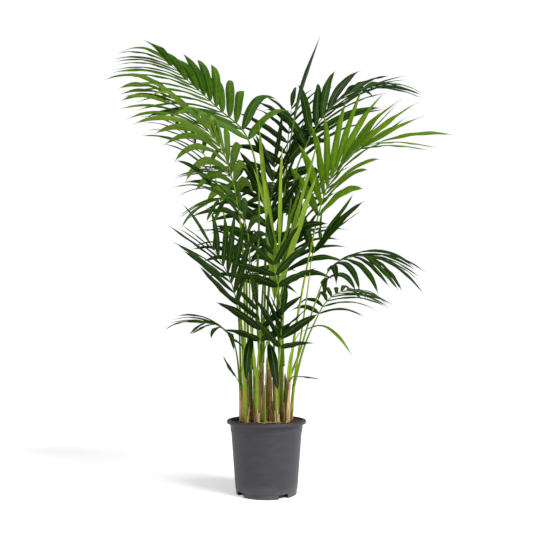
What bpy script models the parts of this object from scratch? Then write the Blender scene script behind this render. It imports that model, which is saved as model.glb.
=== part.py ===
"""A young kentia palm group, planted in a round plastic nursery pot.

Frame: metres, +Z up, origin at the centre of the pot's flat base. The front of the plant faces -Y and
its right side is +X. Ten canes and a bare shoot stand in the soil, and each cane carries one to three
fronds. A frond is one grown piece: a petiole that becomes the rachis, with leaflets in opposite pairs.
"""

import math
import random

import bmesh
import bpy
from mathutils import Matrix, Vector, noise
from mathutils.bvhtree import BVHTree

CM = 0.01
GAP = 0.0003

# Pot
RIM_RADIUS = 0.120
POT_HEIGHT = 0.212
LIP_HEIGHT = 0.010
LIP_OVERHANG = 0.009
STEP_HEIGHT = 0.178
STEP_DEPTH = 0.0012
FOOT_RADIUS = 0.0905
FOOT_HEIGHT = 0.014
FOOT_INSET = 0.002
WALL = 0.002
POT_SEGMENTS = 48
SLOT_WIDTH = 0.032
SLOT_HEIGHT = 0.012
SLOT_DEPTH = 0.014
SLOT_TURN = math.radians(-57)

# Soil
SOIL_HEIGHT = 0.2005
SOIL_LUMP = 0.004
SOIL_RINGS = 5
SOIL_SEGMENTS = 24
PLANTING_DEPTH = 0.020

# Stalks and leaflets
CANE_SIDES = 8
RING_SPACING = 0.055
LEAFLET_FOOT = 0.007
LEAFLET_THICKNESS = 0.0011
BLADE_FULLNESS = 2.1
BLADE_RISE = 0.6
BLADE_TAPER = 0.9
TIP_WIDTH = 0.0015
TIP_THICKNESS = 0.0005
SPINE_STEPS = 12
LEAFLET_STATIONS = (0.22, 0.62, 1.0)
GUARD_STATIONS = (0.05, 0.22, 0.42, 0.62, 0.82, 1.0)
CLEARANCE = 0.0008
FOOT_STALK = 0.0033
TIP_STALK = 0.0011
STOUT_LENGTH = 1.1
TIP_ANGLE = 23
LEAST_ANGLE = 9
DROOP_POWER = 1.2
LOUVRE = 45
END_BARE = 0.016
END_LENGTH = 0.7
END_WIDTH = 0.55
CANE_LEVELS = (0.0, 0.12, 0.45, 0.6, 1.0)
CANE_NODE_SWELL = 1.08
RING_CORNERS = ((1, 1), (-1, 1), (-1, -1), (1, -1))
SPEAR_CORNERS = ((1, 0), (0, 1), (-1, 0), (0, -1))
SPEAR_FLATNESS = 0.45
SPEAR_LEVELS = ((0.0, 0.4), (0.2, 0.38), (0.4, 0.36), (0.6, 0.34), (0.7, 0.5), (0.78, 0.95),
                (0.86, 1.0), (0.94, 0.6), (1.0, 0.07))

# What a leaflet tries when it would touch something: turn, droop, twist and share of its length
NUDGES = (
    (0, 0.0, 0, 1.0),
    (6, 0.1, 12, 1.0),
    (-6, -0.1, -12, 1.0),
    (12, 0.2, -20, 1.0),
    (-12, -0.2, 20, 1.0),
    (4, 0.45, 30, 0.95),
    (-4, -0.35, -30, 0.95),
    (14, 0.3, 10, 0.85),
    (-14, -0.3, -10, 0.85),
    (18, -0.2, 40, 0.8),
    (-18, 0.4, -40, 0.8),
    (0, 0.1, 0, 0.7),
    (26, 0.1, 10, 0.9),
    (-24, 0.1, -10, 0.9),
    (20, 0.6, 60, 0.8),
    (-20, -0.5, -60, 0.8),
    (8, -0.2, 20, 0.6),
    (-8, 0.3, -20, 0.6),
    (0, 0.0, 0, 0.45),
    (10, 0.5, 50, 0.5),
    (-10, -0.4, -50, 0.5),
)

# Each cane: foot x, y in cm, top x, y, z in cm, foot radius and top radius in cm
CANES = {
    "cane_1_cut": ((-7.7, 0.6), (-7.9, 0.7, 30.0), 0.62, 0.52),
    "cane_2_green": ((-6.2, -2.2), (-6.7, -2.4, 35.0), 0.72, 0.62),
    "cane_3_olive": ((-4.6, 1.6), (-5.0, 1.8, 36.0), 0.66, 0.56),
    "cane_4_green": ((-2.8, -2.6), (-2.9, -3.0, 34.0), 0.62, 0.56),
    "cane_5_husky": ((-1.2, 1.5), (-1.5, 1.6, 38.0), 0.80, 0.60),
    "cane_7_brown": ((1.2, -0.6), (1.0, -0.5, 36.0), 0.68, 0.60),
    "cane_8_green": ((3.0, -2.8), (3.0, -3.0, 35.0), 0.62, 0.58),
    "cane_9_knobbly": ((4.6, 1.2), (4.6, 1.3, 37.0), 0.76, 0.72),
    "cane_10_fibrous": ((6.0, -1.6), (6.5, -1.6, 33.0), 0.72, 0.64),
    "cane_11_slim": ((7.2, 1.2), (8.4, 1.3, 31.0), 0.54, 0.50),
}
SHOOT = {"shoot_slim": ((-0.5, -3.9), (-0.3, -4.1, 34.0), 0.45, 0.12)}

# Each frond: the cane, the place of its foot on the cane's top and its route in cm, from above the cane to
# the tip of the rachis; where the leaflets start as a share of the route, the pairs, the longest leaflet
# and its width in cm, the widest angle between leaflet and rachis, how hard the leaflets droop, the
# lift of the two rows above the rachis and the roll of the frond about it, all angles in degrees.
FRONDS = [
    ("frond_high_left_front", "cane_2_green", (-0.3, -0.3),
     [(-6.6, -3, 50), (-7.5, -5, 75), (-10, -8, 92), (-14, -12, 103), (-21, -17, 110), (-30, -22, 117)],
     0.58, 14, 26, 3.1, 44, 1.3, 4, -10),
    ("frond_high_right_front", "cane_10_fibrous", (0.3, -0.2),
     [(9, -2.5, 49), (13, -5, 70), (17, -8.5, 87), (21, -11, 96), (26.5, -14, 101), (34, -17, 103)],
     0.62, 12, 29, 2.9, 40, 0.55, 12, 60),
    ("frond_top_centre", "cane_7_brown", (0.0, 0.35),
     [(0.5, 2, 58), (4, 7, 85), (7, 14, 110), (8.5, 20, 124), (9.5, 25, 133)],
     0.64, 8, 28, 3.8, 52, 0.6, 12, 0),
    ("frond_top_left", "cane_5_husky", (-0.4, -0.1),
     [(-3, 1, 58), (-2.6, 5, 95), (-7, 9, 115), (-17, 14, 127), (-28, 18, 139), (-38.5, 22, 150.5)],
     0.60, 15, 31, 4.0, 42, 0.9, 22, -44),
    ("frond_top_right", "cane_9_knobbly", (0.5, -0.1),
     [(5, 2, 58), (8.6, 8, 95), (14, 12, 113), (22, 16, 127), (31, 20, 136), (41, 24, 141)],
     0.60, 12, 32, 3.6, 36, 0.8, 14, 40),
    ("frond_slim_left", "cane_2_green", (-0.1, 0.4),
     [(-7.6, -1, 47), (-10, 2, 68), (-13.5, 3, 84), (-17.5, 5, 100), (-23, 6.5, 110), (-31, 8, 119)],
     0.66, 7, 21, 2.0, 46, 0.8, 5, -30),
    ("frond_young_centre", "cane_7_brown", (-0.3, -0.3),
     [(0.4, -3.6, 49), (2.4, -6.2, 57), (3.4, -7.4, 64), (3.7, -7.8, 71)],
     0.62, 3, 50, 2.4, 12, 0.04, 6, 0),
    ("frond_mid_left", "cane_4_green", (-0.3, 0.3),
     [(-5, -4, 53), (-5.4, -6, 75), (-8, -9, 84), (-10.5, -12, 87), (-15, -17, 85)],
     0.62, 7, 23, 2.3, 56, 1.1, 0, -25),
    ("frond_low_left", "cane_1_cut", (0.1, 0.35),
     [(-8.4, 0, 47), (-9.2, -1.5, 56), (-11, -4, 63), (-13.5, -7, 68), (-16.5, -10, 73)],
     0.56, 7, 22, 2.4, 44, 0.25, 5, 6),
    ("frond_mid_right", "cane_11_slim", (0.0, 0.3),
     [(10.4, 1.6, 44), (13, 2.5, 60), (15, 4, 73), (18.5, 5, 79)],
     0.86, 2, 27, 2.9, 30, 0.2, 8, 50),
    ("frond_drooping_right", "cane_10_fibrous", (0.2, 0.45),
     [(10, -2, 41), (13, -5, 51), (16.8, -9, 62), (20, -13, 67), (26, -18, 68.5), (31, -22, 67)],
     0.58, 7, 24, 2.4, 48, 1.25, 0, 25),
    ("frond_front_centre", "cane_8_green", (0.2, 0.3),
     [(4.6, -5, 48), (3.6, -10, 60), (2.4, -13, 65), (1.8, -15, 71)],
     0.70, 4, 16, 3.3, 62, 0.4, 10, 16),
    ("frond_low_front", "cane_8_green", (-0.2, -0.3),
     [(4.0, -8, 41), (4.1, -11.5, 45), (4.6, -13.5, 52)],
     0.50, 4, 15, 3.2, 44, 0.3, 10, -22),
    ("frond_low_centre", "cane_4_green", (0.1, -0.35),
     [(-2.3, -6, 42), (-1.8, -9, 48), (-2.8, -12, 55)],
     0.50, 4, 16, 3.2, 48, 0.5, 10, 14),
    ("frond_bottom_left", "cane_1_cut", (-0.2, -0.35),
     [(-9, -1.5, 40), (-10.5, -6, 46), (-14, -10, 49), (-19, -13, 50)],
     0.55, 5, 16, 1.8, 50, 0.8, 5, -20),
    ("frond_low_right_back", "cane_11_slim", (0.1, -0.25),
     [(11.5, 2.5, 42), (15.6, 6, 51), (20, 11, 58), (26, 16, 62), (33, 21, 63)],
     0.52, 9, 21, 2.1, 52, 1.0, 5, 20),
    ("frond_inner_left", "cane_5_husky", (0.3, -0.42),
     [(-1.4, 0.5, 56), (0.2, 2.6, 78), (1.6, 4, 92), (2.8, 5, 104)],
     0.56, 6, 27, 3.6, 50, 0.45, 10, 15),
    ("frond_inner_right", "cane_7_brown", (0.48, -0.22),
     [(4, 0.2, 56), (8, 2, 76), (11.5, 4, 88), (16, 5.5, 97)],
     0.60, 6, 24, 3.1, 52, 0.6, 10, 10),
    ("frond_left_back", "cane_3_olive", (-0.3, 0.1),
     [(-6.2, 3, 56), (-7.4, 10, 87), (-10, 16, 98), (-14, 21, 105), (-19, 26, 109)],
     0.62, 8, 24, 3.0, 54, 0.8, 8, -20),
    ("frond_mid_back", "cane_5_husky", (0.3, 0.36),
     [(-0.5, 5, 60), (0, 13, 85), (1, 22, 99), (3, 31, 105), (4, 40, 106)],
     0.58, 10, 27, 3.4, 58, 0.8, 8, 0),
    ("frond_low_back_left", "cane_3_olive", (0.3, 0.3),
     [(-4.5, 7, 54), (-5, 14, 70), (-8, 21, 81), (-11, 28, 86)],
     0.50, 8, 23, 3.0, 54, 0.9, 5, 0),
    ("frond_low_back_right", "cane_9_knobbly", (-0.2, 0.5),
     [(5.5, 7, 54), (7, 14, 70), (10, 21, 81), (13, 28, 86)],
     0.50, 8, 23, 3.0, 54, 0.9, 5, 0),
    ("leaf_single_right", "cane_10_fibrous", (-0.2, -0.4),
     [(7, -6, 40), (9, -9, 46), (11.6, -11, 48)],
     0.86, 0, 19, 2.3, 40, 2.2, 0, 0),
    ("leaf_hanging_left", "cane_3_olive", (0.15, -0.4),
     [(-4.4, 0, 41), (-4.3, -2.5, 47), (-4.6, -5.5, 46)],
     0.86, 0, 17, 2.6, 40, 1.8, 0, 0),
    ("leaf_hanging_centre", "cane_4_green", (0.42, 0.15),
     [(-1.0, -3.5, 40), (0.2, -5, 45), (0.8, -7.2, 44)],
     0.86, 0, 17, 2.8, 40, 1.8, 0, 0),
    ("leaf_small_left", "cane_1_cut", (0.35, -0.1),
     [(-8.2, -2.2, 32), (-9.2, -3.2, 34)],
     0.86, 0, 8, 1.8, 40, 0.2, 0, 0),
    ("leaf_small_right", "cane_10_fibrous", (0.62, -0.62),
     [(7.9, -3.3, 34), (9.4, -4.6, 34.2)],
     0.86, 0, 8, 1.6, 40, 0.3, 0, 0),
]

# Each unopened spear leaf: its cane, foot, route and thickest radius in cm
SPEARS = [
    ("spear_leaf_top", "cane_9_knobbly", (-0.25, -0.5),
     [(3.6, 0.8, 60), (6, 3, 95), (8.8, 5, 116), (12.5, 7, 133), (19, 9, 152)], 0.70),
]

COLOURS = {
    "pot": (0.085, 0.085, 0.095),
    "soil": (0.030, 0.017, 0.010),
    "cane": (0.250, 0.260, 0.060),
    "frond": (0.060, 0.160, 0.030),
}


def clear_scene():
    for thing in list(bpy.data.objects):
        bpy.data.objects.remove(thing, do_unlink=True)


def make_material(name, colour, roughness):
    material = bpy.data.materials.new(name)
    material.use_nodes = True
    shader = material.node_tree.nodes["Principled BSDF"]
    shader.inputs["Base Color"].default_value = (*colour, 1.0)
    shader.inputs["Roughness"].default_value = roughness
    shader.inputs["Metallic"].default_value = 0.0
    return material


def add_object(name, bm, material, smooth=False):
    bmesh.ops.recalc_face_normals(bm, faces=bm.faces)
    if bm.calc_volume(signed=True) < 0:
        bmesh.ops.reverse_faces(bm, faces=bm.faces)
    mesh = bpy.data.meshes.new(name)
    bm.to_mesh(mesh)
    bm.free()
    if smooth:
        mesh.shade_smooth()
        mesh.set_sharp_from_angle(angle=math.radians(35))
    mesh.materials.append(material)
    thing = bpy.data.objects.new(name, mesh)
    bpy.context.scene.collection.objects.link(thing)
    return thing


# ---------------------------------------------------------------- pot and soil

def wall_radius(height):
    """Outer radius of the pot's wall, which narrows a little below its step."""
    top = RIM_RADIUS - LIP_OVERHANG
    share = height / POT_HEIGHT
    radius = (FOOT_RADIUS + FOOT_INSET) + (top - FOOT_RADIUS - FOOT_INSET) * share
    return radius - (STEP_DEPTH if height < STEP_HEIGHT else 0.0)


def turned_solid(outline, segments):
    """Spin an outline of (radius, height) points that starts and ends on the axis."""
    bm = bmesh.new()
    verts = [bm.verts.new((radius, 0.0, height)) for radius, height in outline]
    edges = [bm.edges.new(pair) for pair in zip(verts, verts[1:])]
    bmesh.ops.spin(bm, geom=verts + edges, cent=(0, 0, 0), axis=(0, 0, 1), angle=math.tau,
                   steps=segments, use_merge=True)
    bmesh.ops.remove_doubles(bm, verts=bm.verts, dist=1e-6)
    return bm


def cut(thing, cutter):
    modifier = thing.modifiers.new("cut_" + cutter.name, "BOOLEAN")
    modifier.object = cutter
    modifier.operation = "DIFFERENCE"
    cutter.hide_render = True
    cutter.display_type = "WIRE"


def build_pot(material):
    lip_foot = POT_HEIGHT - LIP_HEIGHT
    step_top = STEP_HEIGHT + STEP_DEPTH
    outline = [
        (0.0, 0.0),
        (FOOT_RADIUS, 0.0),
        (FOOT_RADIUS, FOOT_HEIGHT - FOOT_INSET),
        (wall_radius(FOOT_HEIGHT), FOOT_HEIGHT),
        (wall_radius(STEP_HEIGHT - STEP_DEPTH), STEP_HEIGHT),
        (wall_radius(STEP_HEIGHT) + STEP_DEPTH / 2, step_top),
        (wall_radius(lip_foot), lip_foot),
        (RIM_RADIUS - 0.001, lip_foot),
        (RIM_RADIUS, lip_foot + 0.0015),
        (RIM_RADIUS, POT_HEIGHT - 0.0015),
        (RIM_RADIUS - 0.0015, POT_HEIGHT),
        (wall_radius(POT_HEIGHT) - WALL, POT_HEIGHT),
        (wall_radius(FOOT_HEIGHT) - WALL, FOOT_HEIGHT),
        (FOOT_RADIUS - WALL, FOOT_HEIGHT - FOOT_INSET),
        (FOOT_RADIUS - WALL, WALL),
        (0.0, WALL),
    ]
    pot = add_object("pot", turned_solid(outline, POT_SEGMENTS), material, smooth=True)
    for quarter in range(4):
        turn = SLOT_TURN + quarter * math.pi / 2
        slot = bmesh.new()
        size = Matrix.Diagonal((SLOT_DEPTH * 2, SLOT_WIDTH, SLOT_HEIGHT * 2, 1.0))
        place = Matrix.Rotation(turn, 4, "Z") @ Matrix.Translation((FOOT_RADIUS, 0, 0))
        bmesh.ops.create_cube(slot, size=1.0, matrix=place @ size)
        cut(pot, add_object(f"slot_cutter_{quarter + 1}", slot, material))
    return pot


def soil_surface(x, y):
    """Height of the lumpy soil: a low heap at the right, hollows near the wall."""
    lumps = noise.noise(Vector((x, y, 0.4)) * 55.0) + 0.5 * noise.noise(Vector((x, y, 1.7)) * 110.0)
    heap = 0.006 * math.exp(-((x - 0.09) ** 2 + (y + 0.01) ** 2) / 0.0006)
    return SOIL_HEIGHT + SOIL_LUMP * lumps + heap


def build_soil(material):
    inner_low = FOOT_RADIUS - WALL - GAP
    inner_wall = wall_radius(FOOT_HEIGHT) - WALL - GAP
    edge_low = SOIL_HEIGHT - 2 * SOIL_LUMP
    inner_high = inner_wall + (wall_radius(POT_HEIGHT) - wall_radius(FOOT_HEIGHT)) * (
        (edge_low - FOOT_HEIGHT) / (POT_HEIGHT - FOOT_HEIGHT))
    outline = [
        (0.0, WALL + GAP),
        (inner_low, WALL + GAP),
        (inner_low, FOOT_HEIGHT - FOOT_INSET),
        (inner_wall, FOOT_HEIGHT + GAP),
        (inner_high, edge_low),
    ]
    outline += [(inner_high * ring / SOIL_RINGS, SOIL_HEIGHT) for ring in range(SOIL_RINGS - 1, -1, -1)]
    bm = turned_solid(outline, SOIL_SEGMENTS)
    for vert in bm.verts:
        if vert.co.z > edge_low + 1e-5:
            vert.co.z = soil_surface(vert.co.x, vert.co.y)
    return add_object("soil", bm, material)


# ---------------------------------------------------------------- stalks

def smooth_route(points, steps=10):
    """Points along a Catmull-Rom curve through the route's own points."""
    ends = [points[0] * 2 - points[1], *points, points[-1] * 2 - points[-2]]
    curve = []
    for a, b, c, d in zip(ends, ends[1:], ends[2:], ends[3:]):
        for step in range(steps):
            t = step / steps
            curve.append(0.5 * (2 * b + (c - a) * t + (2 * a - 5 * b + 4 * c - d) * t * t
                                + (3 * b - a - 3 * c + d) * t ** 3))
    return curve + [points[-1]]


class Route:
    """A smooth curve that can be read by the distance along it."""

    def __init__(self, points):
        self.curve = smooth_route(points)
        self.marks = [0.0]
        for a, b in zip(self.curve, self.curve[1:]):
            self.marks.append(self.marks[-1] + (b - a).length)
        self.length = self.marks[-1]

    def at(self, distance):
        distance = min(max(distance, 0.0), self.length)
        for index in range(1, len(self.marks)):
            if self.marks[index] >= distance:
                break
        low, high = self.marks[index - 1], self.marks[index]
        share = (distance - low) / (high - low)
        return self.curve[index - 1].lerp(self.curve[index], share)

    def tangent(self, distance):
        reach = self.length * 0.01
        return (self.at(distance + reach) - self.at(distance - reach)).normalized()


def tube(rings):
    """A closed tube through rings of points; returns the mesh and its rings of vertices."""
    bm = bmesh.new()
    cap = bm.faces.new([bm.verts.new(point) for point in rings[0]])
    vert_rings = [list(cap.verts)]
    for ring in rings[1:]:
        cap = bmesh.ops.extrude_discrete_faces(bm, faces=[cap])["faces"][0]
        for vert, point in zip(cap.verts, ring):
            vert.co = point
        vert_rings.append(list(cap.verts))
    bm.faces.new(reversed(vert_rings[0]))
    return bm, vert_rings


def cane_rings(foot, top, foot_radius, top_radius, bottom, grow=0.0):
    """Level rings up a cane, with a swollen node at a third of its height."""
    start = Vector((foot[0] * CM, foot[1] * CM, bottom))
    end = Vector(top) * CM
    rings = []
    for share in CANE_LEVELS:
        swell = CANE_NODE_SWELL if share == CANE_LEVELS[2] else 1.0
        radius = (foot_radius + (top_radius - foot_radius) * share) * CM * swell + grow
        centre = start.lerp(end, share)
        rings.append([centre + Vector((radius * math.cos(turn), radius * math.sin(turn), 0.0))
                      for turn in (math.tau * side / CANE_SIDES for side in range(CANE_SIDES))])
    return rings


def build_canes(soil, material):
    bottom = SOIL_HEIGHT - PLANTING_DEPTH
    for name, plan in {**CANES, **SHOOT}.items():
        bm, _ = tube(cane_rings(*plan, bottom))
        add_object(name, bm, material, smooth=True)
        socket, _ = tube(cane_rings(*plan, bottom - GAP, grow=GAP))
        cut(soil, add_object("socket_" + name, socket, material))


def build_spears(material):
    """An unopened leaf: a long stalk that swells into a flat, pointed, folded blade."""
    for name, cane, foot, route, thickest in SPEARS:
        start = (Vector(CANES[cane][1]) + Vector((*foot, 0.0))) * CM + Vector((0, 0, GAP))
        path = Route([start] + [Vector(point) * CM for point in route])
        rings = []
        for share, girth in SPEAR_LEVELS:
            tangent = path.tangent(share * path.length) if share > 0 else Vector((0, 0, 1))
            side = Vector((0, 1, 0)).cross(tangent).normalized()
            face = tangent.cross(side)
            wide = thickest * CM * girth
            thin = min(wide, thickest * CM * SPEAR_FLATNESS)
            rings.append([path.at(share * path.length) + side * (wide * a) + face * (thin * b)
                          for a, b in SPEAR_CORNERS])
        bm, _ = tube(rings)
        add_object(name, bm, material)


# ---------------------------------------------------------------- fronds

class Leaflet:
    """One leaflet: a lance-shaped blade whose midrib starts along its heading and droops."""

    def __init__(self, foot, heading, rachis, normal, length, width, droop, roll):
        self.rachis, self.width, self.roll = rachis, width, roll
        self.hand = 1 if heading.cross(rachis).dot(normal) > 0 else -1
        self.spine = [foot]
        self.headings = [heading]
        for step in range(SPINE_STEPS):
            share = (step + 1) / SPINE_STEPS
            turned = (heading - Vector((0, 0, droop * share ** DROOP_POWER))).normalized()
            self.spine.append(self.spine[-1] + turned * (length / SPINE_STEPS))
            self.headings.append(turned)

    def section(self, share):
        """Centre, width direction and face normal at a share of the blade's length."""
        place = min(share * SPINE_STEPS, SPINE_STEPS - 1e-6)
        index = int(place)
        centre = self.spine[index].lerp(self.spine[index + 1], place - index)
        heading = self.headings[index].lerp(self.headings[index + 1], place - index).normalized()
        across = (self.rachis - heading * self.rachis.dot(heading)).normalized()
        across = Matrix.Rotation(self.roll * min(1.0, share * 3), 3, heading) @ across
        return centre, across, heading.cross(across) * self.hand

    def blade_width(self, share):
        if share >= 1:
            return TIP_WIDTH
        return max(self.width * BLADE_FULLNESS * share ** BLADE_RISE * (1 - share) ** BLADE_TAPER, TIP_WIDTH)

    def corners(self, share, grow=0.0):
        """The four corners of a section, as (rachis side, face side) signs and points."""
        centre, across, face = self.section(share)
        half = self.blade_width(share) / 2 + grow
        thick = (LEAFLET_THICKNESS if share < 1 else TIP_THICKNESS) / 2 + grow
        return {(a, b): centre + across * (a * half) + face * (b * thick)
                for a in (-1, 1) for b in (-1, 1)}

    def guard(self):
        """A slightly fatter blade, both faceted and smooth, for telling whether it would touch something."""
        points = []
        faces = []
        for shares in ((GUARD_STATIONS[0], *LEAFLET_STATIONS), GUARD_STATIONS):
            first = len(points)
            for share in shares:
                corner = self.corners(share, CLEARANCE)
                points += [corner[sign] for sign in ((-1, -1), (1, -1), (1, 1), (-1, 1))]
            faces += chain_faces(first, len(points))
        return Guard(points, faces)


def chain_faces(first, last):
    """The triangles round a chain of four-cornered rings; opposite sides are split along one diagonal."""
    faces = []
    for ring in range(first, last - 4, 4):
        for k in range(4):
            a, b = ring + k, ring + (k + 1) % 4
            faces += [(a, b, b + 4), (a, b + 4, a + 4)] if k < 2 else [(a, b, a + 4), (b, b + 4, a + 4)]
    return faces


class Guard:
    """A shape to keep clear of, with its box for a quick first test."""

    def __init__(self, points, faces):
        self.tree = BVHTree.FromPolygons(points, faces)
        self.low = [min(point[k] for point in points) for k in range(3)]
        self.high = [max(point[k] for point in points) for k in range(3)]

    def touches(self, other):
        apart = any(self.low[k] > other.high[k] or other.low[k] > self.high[k] for k in range(3))
        return not apart and bool(self.tree.overlap(other.tree))


class Frond:
    """The plan of one frond: its stalk's rings and its leaflets."""

    def __init__(self, row):
        (self.name, cane, foot, route, self.leafy, self.pairs, self.longest, self.width,
         self.spread, self.droop, self.lift, self.roll) = row
        top = Vector(CANES[cane][1]) + Vector((*foot, 0.0))
        start = top * CM + Vector((0, 0, GAP))
        self.route = Route([start] + [Vector(point) * CM for point in route])
        self.random = random.Random(self.name)
        self.leafy_start = self.leafy * self.route.length
        crown = self.route.at(self.leafy_start)
        reach = self.route.at(self.route.length) - crown
        if math.hypot(reach.x, reach.y) < 0.3 * reach.length:
            reach = self.route.at(self.route.length) - start
        self.side = Vector((0, 0, 1)).cross(reach).normalized()
        self.leaflets = {}

    def frame(self, distance):
        """Tangent, side and normal of the stalk at a distance along it."""
        tangent = self.route.tangent(distance)
        side = (self.side - tangent * self.side.dot(tangent)).normalized()
        side = Matrix.Rotation(math.radians(self.roll), 3, tangent) @ side
        return tangent, side, tangent.cross(side)

    def radius(self, distance):
        share = distance / self.route.length
        stout = min(1.0, self.route.length / STOUT_LENGTH)
        return (FOOT_STALK + (TIP_STALK - FOOT_STALK) * share ** 0.8) * stout

    def pair_marks(self):
        """The distances of the leaflet pairs and the length of rachis that each one holds."""
        marks = []
        room = self.route.length - END_BARE - self.leafy_start
        for index in range(self.pairs):
            share = (index / max(self.pairs - 1, 1)) ** 0.9
            marks.append((self.leafy_start + room * share, LEAFLET_FOOT * (1 - 0.4 * share), share))
        return marks

    def ring_marks(self):
        """Distances of the stalk's rings; each pair of leaflets sits between two of them."""
        marks = [0.0]
        while marks[-1] + 1.6 * RING_SPACING < self.leafy_start:
            marks.append(marks[-1] + RING_SPACING)
        pair_rings = []
        for distance, foot, _ in self.pair_marks():
            pair_rings.append(len(marks))
            marks += [distance - foot / 2, distance + foot / 2]
        return marks + [self.route.length], pair_rings

    def ring(self, distance):
        centre = self.route.at(distance)
        tangent, side, normal = self.frame(distance)
        if distance == 0.0:
            normal = Vector((0, 0, 1)).cross(side).normalized()
            side = Vector((side.x, side.y, 0)).normalized()
        radius = self.radius(distance)
        return [centre + (side * a + normal * b) * radius for a, b in RING_CORNERS]

    def stalk_guard(self):
        rings = [self.ring(mark) for mark in self.ring_marks()[0]]
        points = [point for ring in rings for point in ring]
        return Guard(points, chain_faces(0, len(points)))

    def make_leaflet(self, mark, sign, nudge):
        distance, _, share = mark
        turn, sag, twist, shrink = nudge
        tangent, side, normal = self.frame(distance)
        tip_angle = min(TIP_ANGLE, self.spread / 2)
        angle = math.radians(max(self.spread + (tip_angle - self.spread) * share ** 1.1 + turn, LEAST_ANGLE))
        lift = math.radians(self.lift * (1 - 0.5 * share))
        outward = side * (sign * math.cos(lift)) + normal * math.sin(lift)
        heading = (tangent * math.cos(angle) + outward * math.sin(angle)).normalized()
        foot = self.route.at(distance) + side * (sign * self.radius(distance))
        length = self.longest * CM * (1 - 1.1 * (share - 0.4) ** 2) * shrink
        return Leaflet(foot, heading, tangent, normal, length, self.width * CM * (1 - 0.35 * share),
                       self.droop * (1.15 - 0.4 * share) + sag,
                       math.radians(twist + LOUVRE * (0.4 + 0.6 * share)) * sign)

    def end_leaflet(self, nudge):
        """The leaflet that carries on from the tip of the rachis."""
        turn, sag, twist, shrink = nudge
        tangent, side, normal = self.frame(self.route.length)
        heading = Matrix.Rotation(math.radians(turn), 3, normal) @ tangent
        length = self.longest * CM * (END_LENGTH if self.pairs else 1.0) * shrink
        width = self.width * CM * (END_WIDTH if self.pairs else 1.0)
        return Leaflet(self.route.at(self.route.length), heading, side, normal, length, width,
                       self.droop + sag, math.radians(twist))

    def place_leaflet(self, key, make, own, guards):
        """Keep the first of the nudged leaflets that touches nothing, if there is one."""
        for nudge in NUDGES:
            leaflet = make(tuple(a * b if k == 3 else a + b for k, (a, b) in enumerate(zip(own, nudge))))
            guard = leaflet.guard()
            if not any(guard.touches(other) for name, other in guards if name != self.name):
                self.leaflets[key] = leaflet
                guards.append((self.name + "_leaflet", guard))
                return

    def plan_leaflets(self, guards):
        """Place each leaflet, nudged, shortened or left out where it would touch something."""
        self.place_leaflet("end", self.end_leaflet, (0, 0, 0, 1), guards)
        for index, mark in enumerate(self.pair_marks()):
            wild = 1 - 0.7 * mark[2]
            for sign in (-1, 1):
                own = (wild * self.random.uniform(-8, 8), wild * self.random.uniform(-0.2, 0.2),
                       wild * self.random.uniform(-16, 16), self.random.uniform(0.88, 1.08))
                self.place_leaflet((index, sign), lambda nudge: self.make_leaflet(mark, sign, nudge),
                                   own, guards)

    def build(self, material):
        """The stalk with its leaflets, whose upper and lower faces fold along the same diagonal."""
        marks, pair_rings = self.ring_marks()
        bm, rings = tube([self.ring(mark) for mark in marks])
        for place, leaflet in self.leaflets.items():
            if place == "end":
                signs = dict(zip(rings[-1], RING_CORNERS))
            else:
                index, sign = place
                low, high = rings[pair_rings[index]], rings[pair_rings[index] + 1]
                upper, lower = (0, 3) if sign > 0 else (1, 2)
                signs = {low[lower]: (-1, -1), low[upper]: (-1, 1),
                         high[upper]: (1, 1), high[lower]: (1, -1)}
            face = bm.faces.get(list(signs))
            order = [signs[vert] for vert in face.verts]
            for share in LEAFLET_STATIONS:
                corner = leaflet.corners(share)
                low = dict(zip(order, face.verts))
                face = bmesh.ops.extrude_discrete_faces(bm, faces=[face])["faces"][0]
                high = dict(zip(order, face.verts))
                for which, vert in high.items():
                    vert.co = corner[which]
                for b in (-1, 1):
                    flat = bm.faces.get((low[-1, b], low[1, b], high[1, b], high[-1, b]))
                    bmesh.utils.face_split(flat, low[-1, b], high[1, b])
        add_object(self.name, bm, material)


def object_guard(name):
    mesh = bpy.data.objects[name].data
    return Guard([vert.co.copy() for vert in mesh.vertices], [list(face.vertices) for face in mesh.polygons])


def plan_fronds():
    fronds = [Frond(row) for row in FRONDS]
    solids = ["pot", *CANES, *SHOOT, *(row[0] for row in SPEARS)]
    guards = [(name, object_guard(name)) for name in solids]
    guards += [(frond.name, frond.stalk_guard()) for frond in fronds]
    for frond in fronds:
        frond.plan_leaflets(guards)
    return fronds


def main():
    clear_scene()
    pot_plastic = make_material("pot_plastic", COLOURS["pot"], 0.55)
    soil_matter = make_material("soil_matter", COLOURS["soil"], 0.95)
    cane_skin = make_material("cane_skin", COLOURS["cane"], 0.6)
    frond_skin = make_material("frond_skin", COLOURS["frond"], 0.45)
    build_pot(pot_plastic)
    soil = build_soil(soil_matter)
    build_canes(soil, cane_skin)
    build_spears(frond_skin)
    for frond in plan_fronds():
        frond.build(frond_skin)


main()
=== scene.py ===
import math
import random

import bmesh
import bpy
from mathutils import Matrix, Vector, noise
from mathutils.bvhtree import BVHTree


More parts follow.
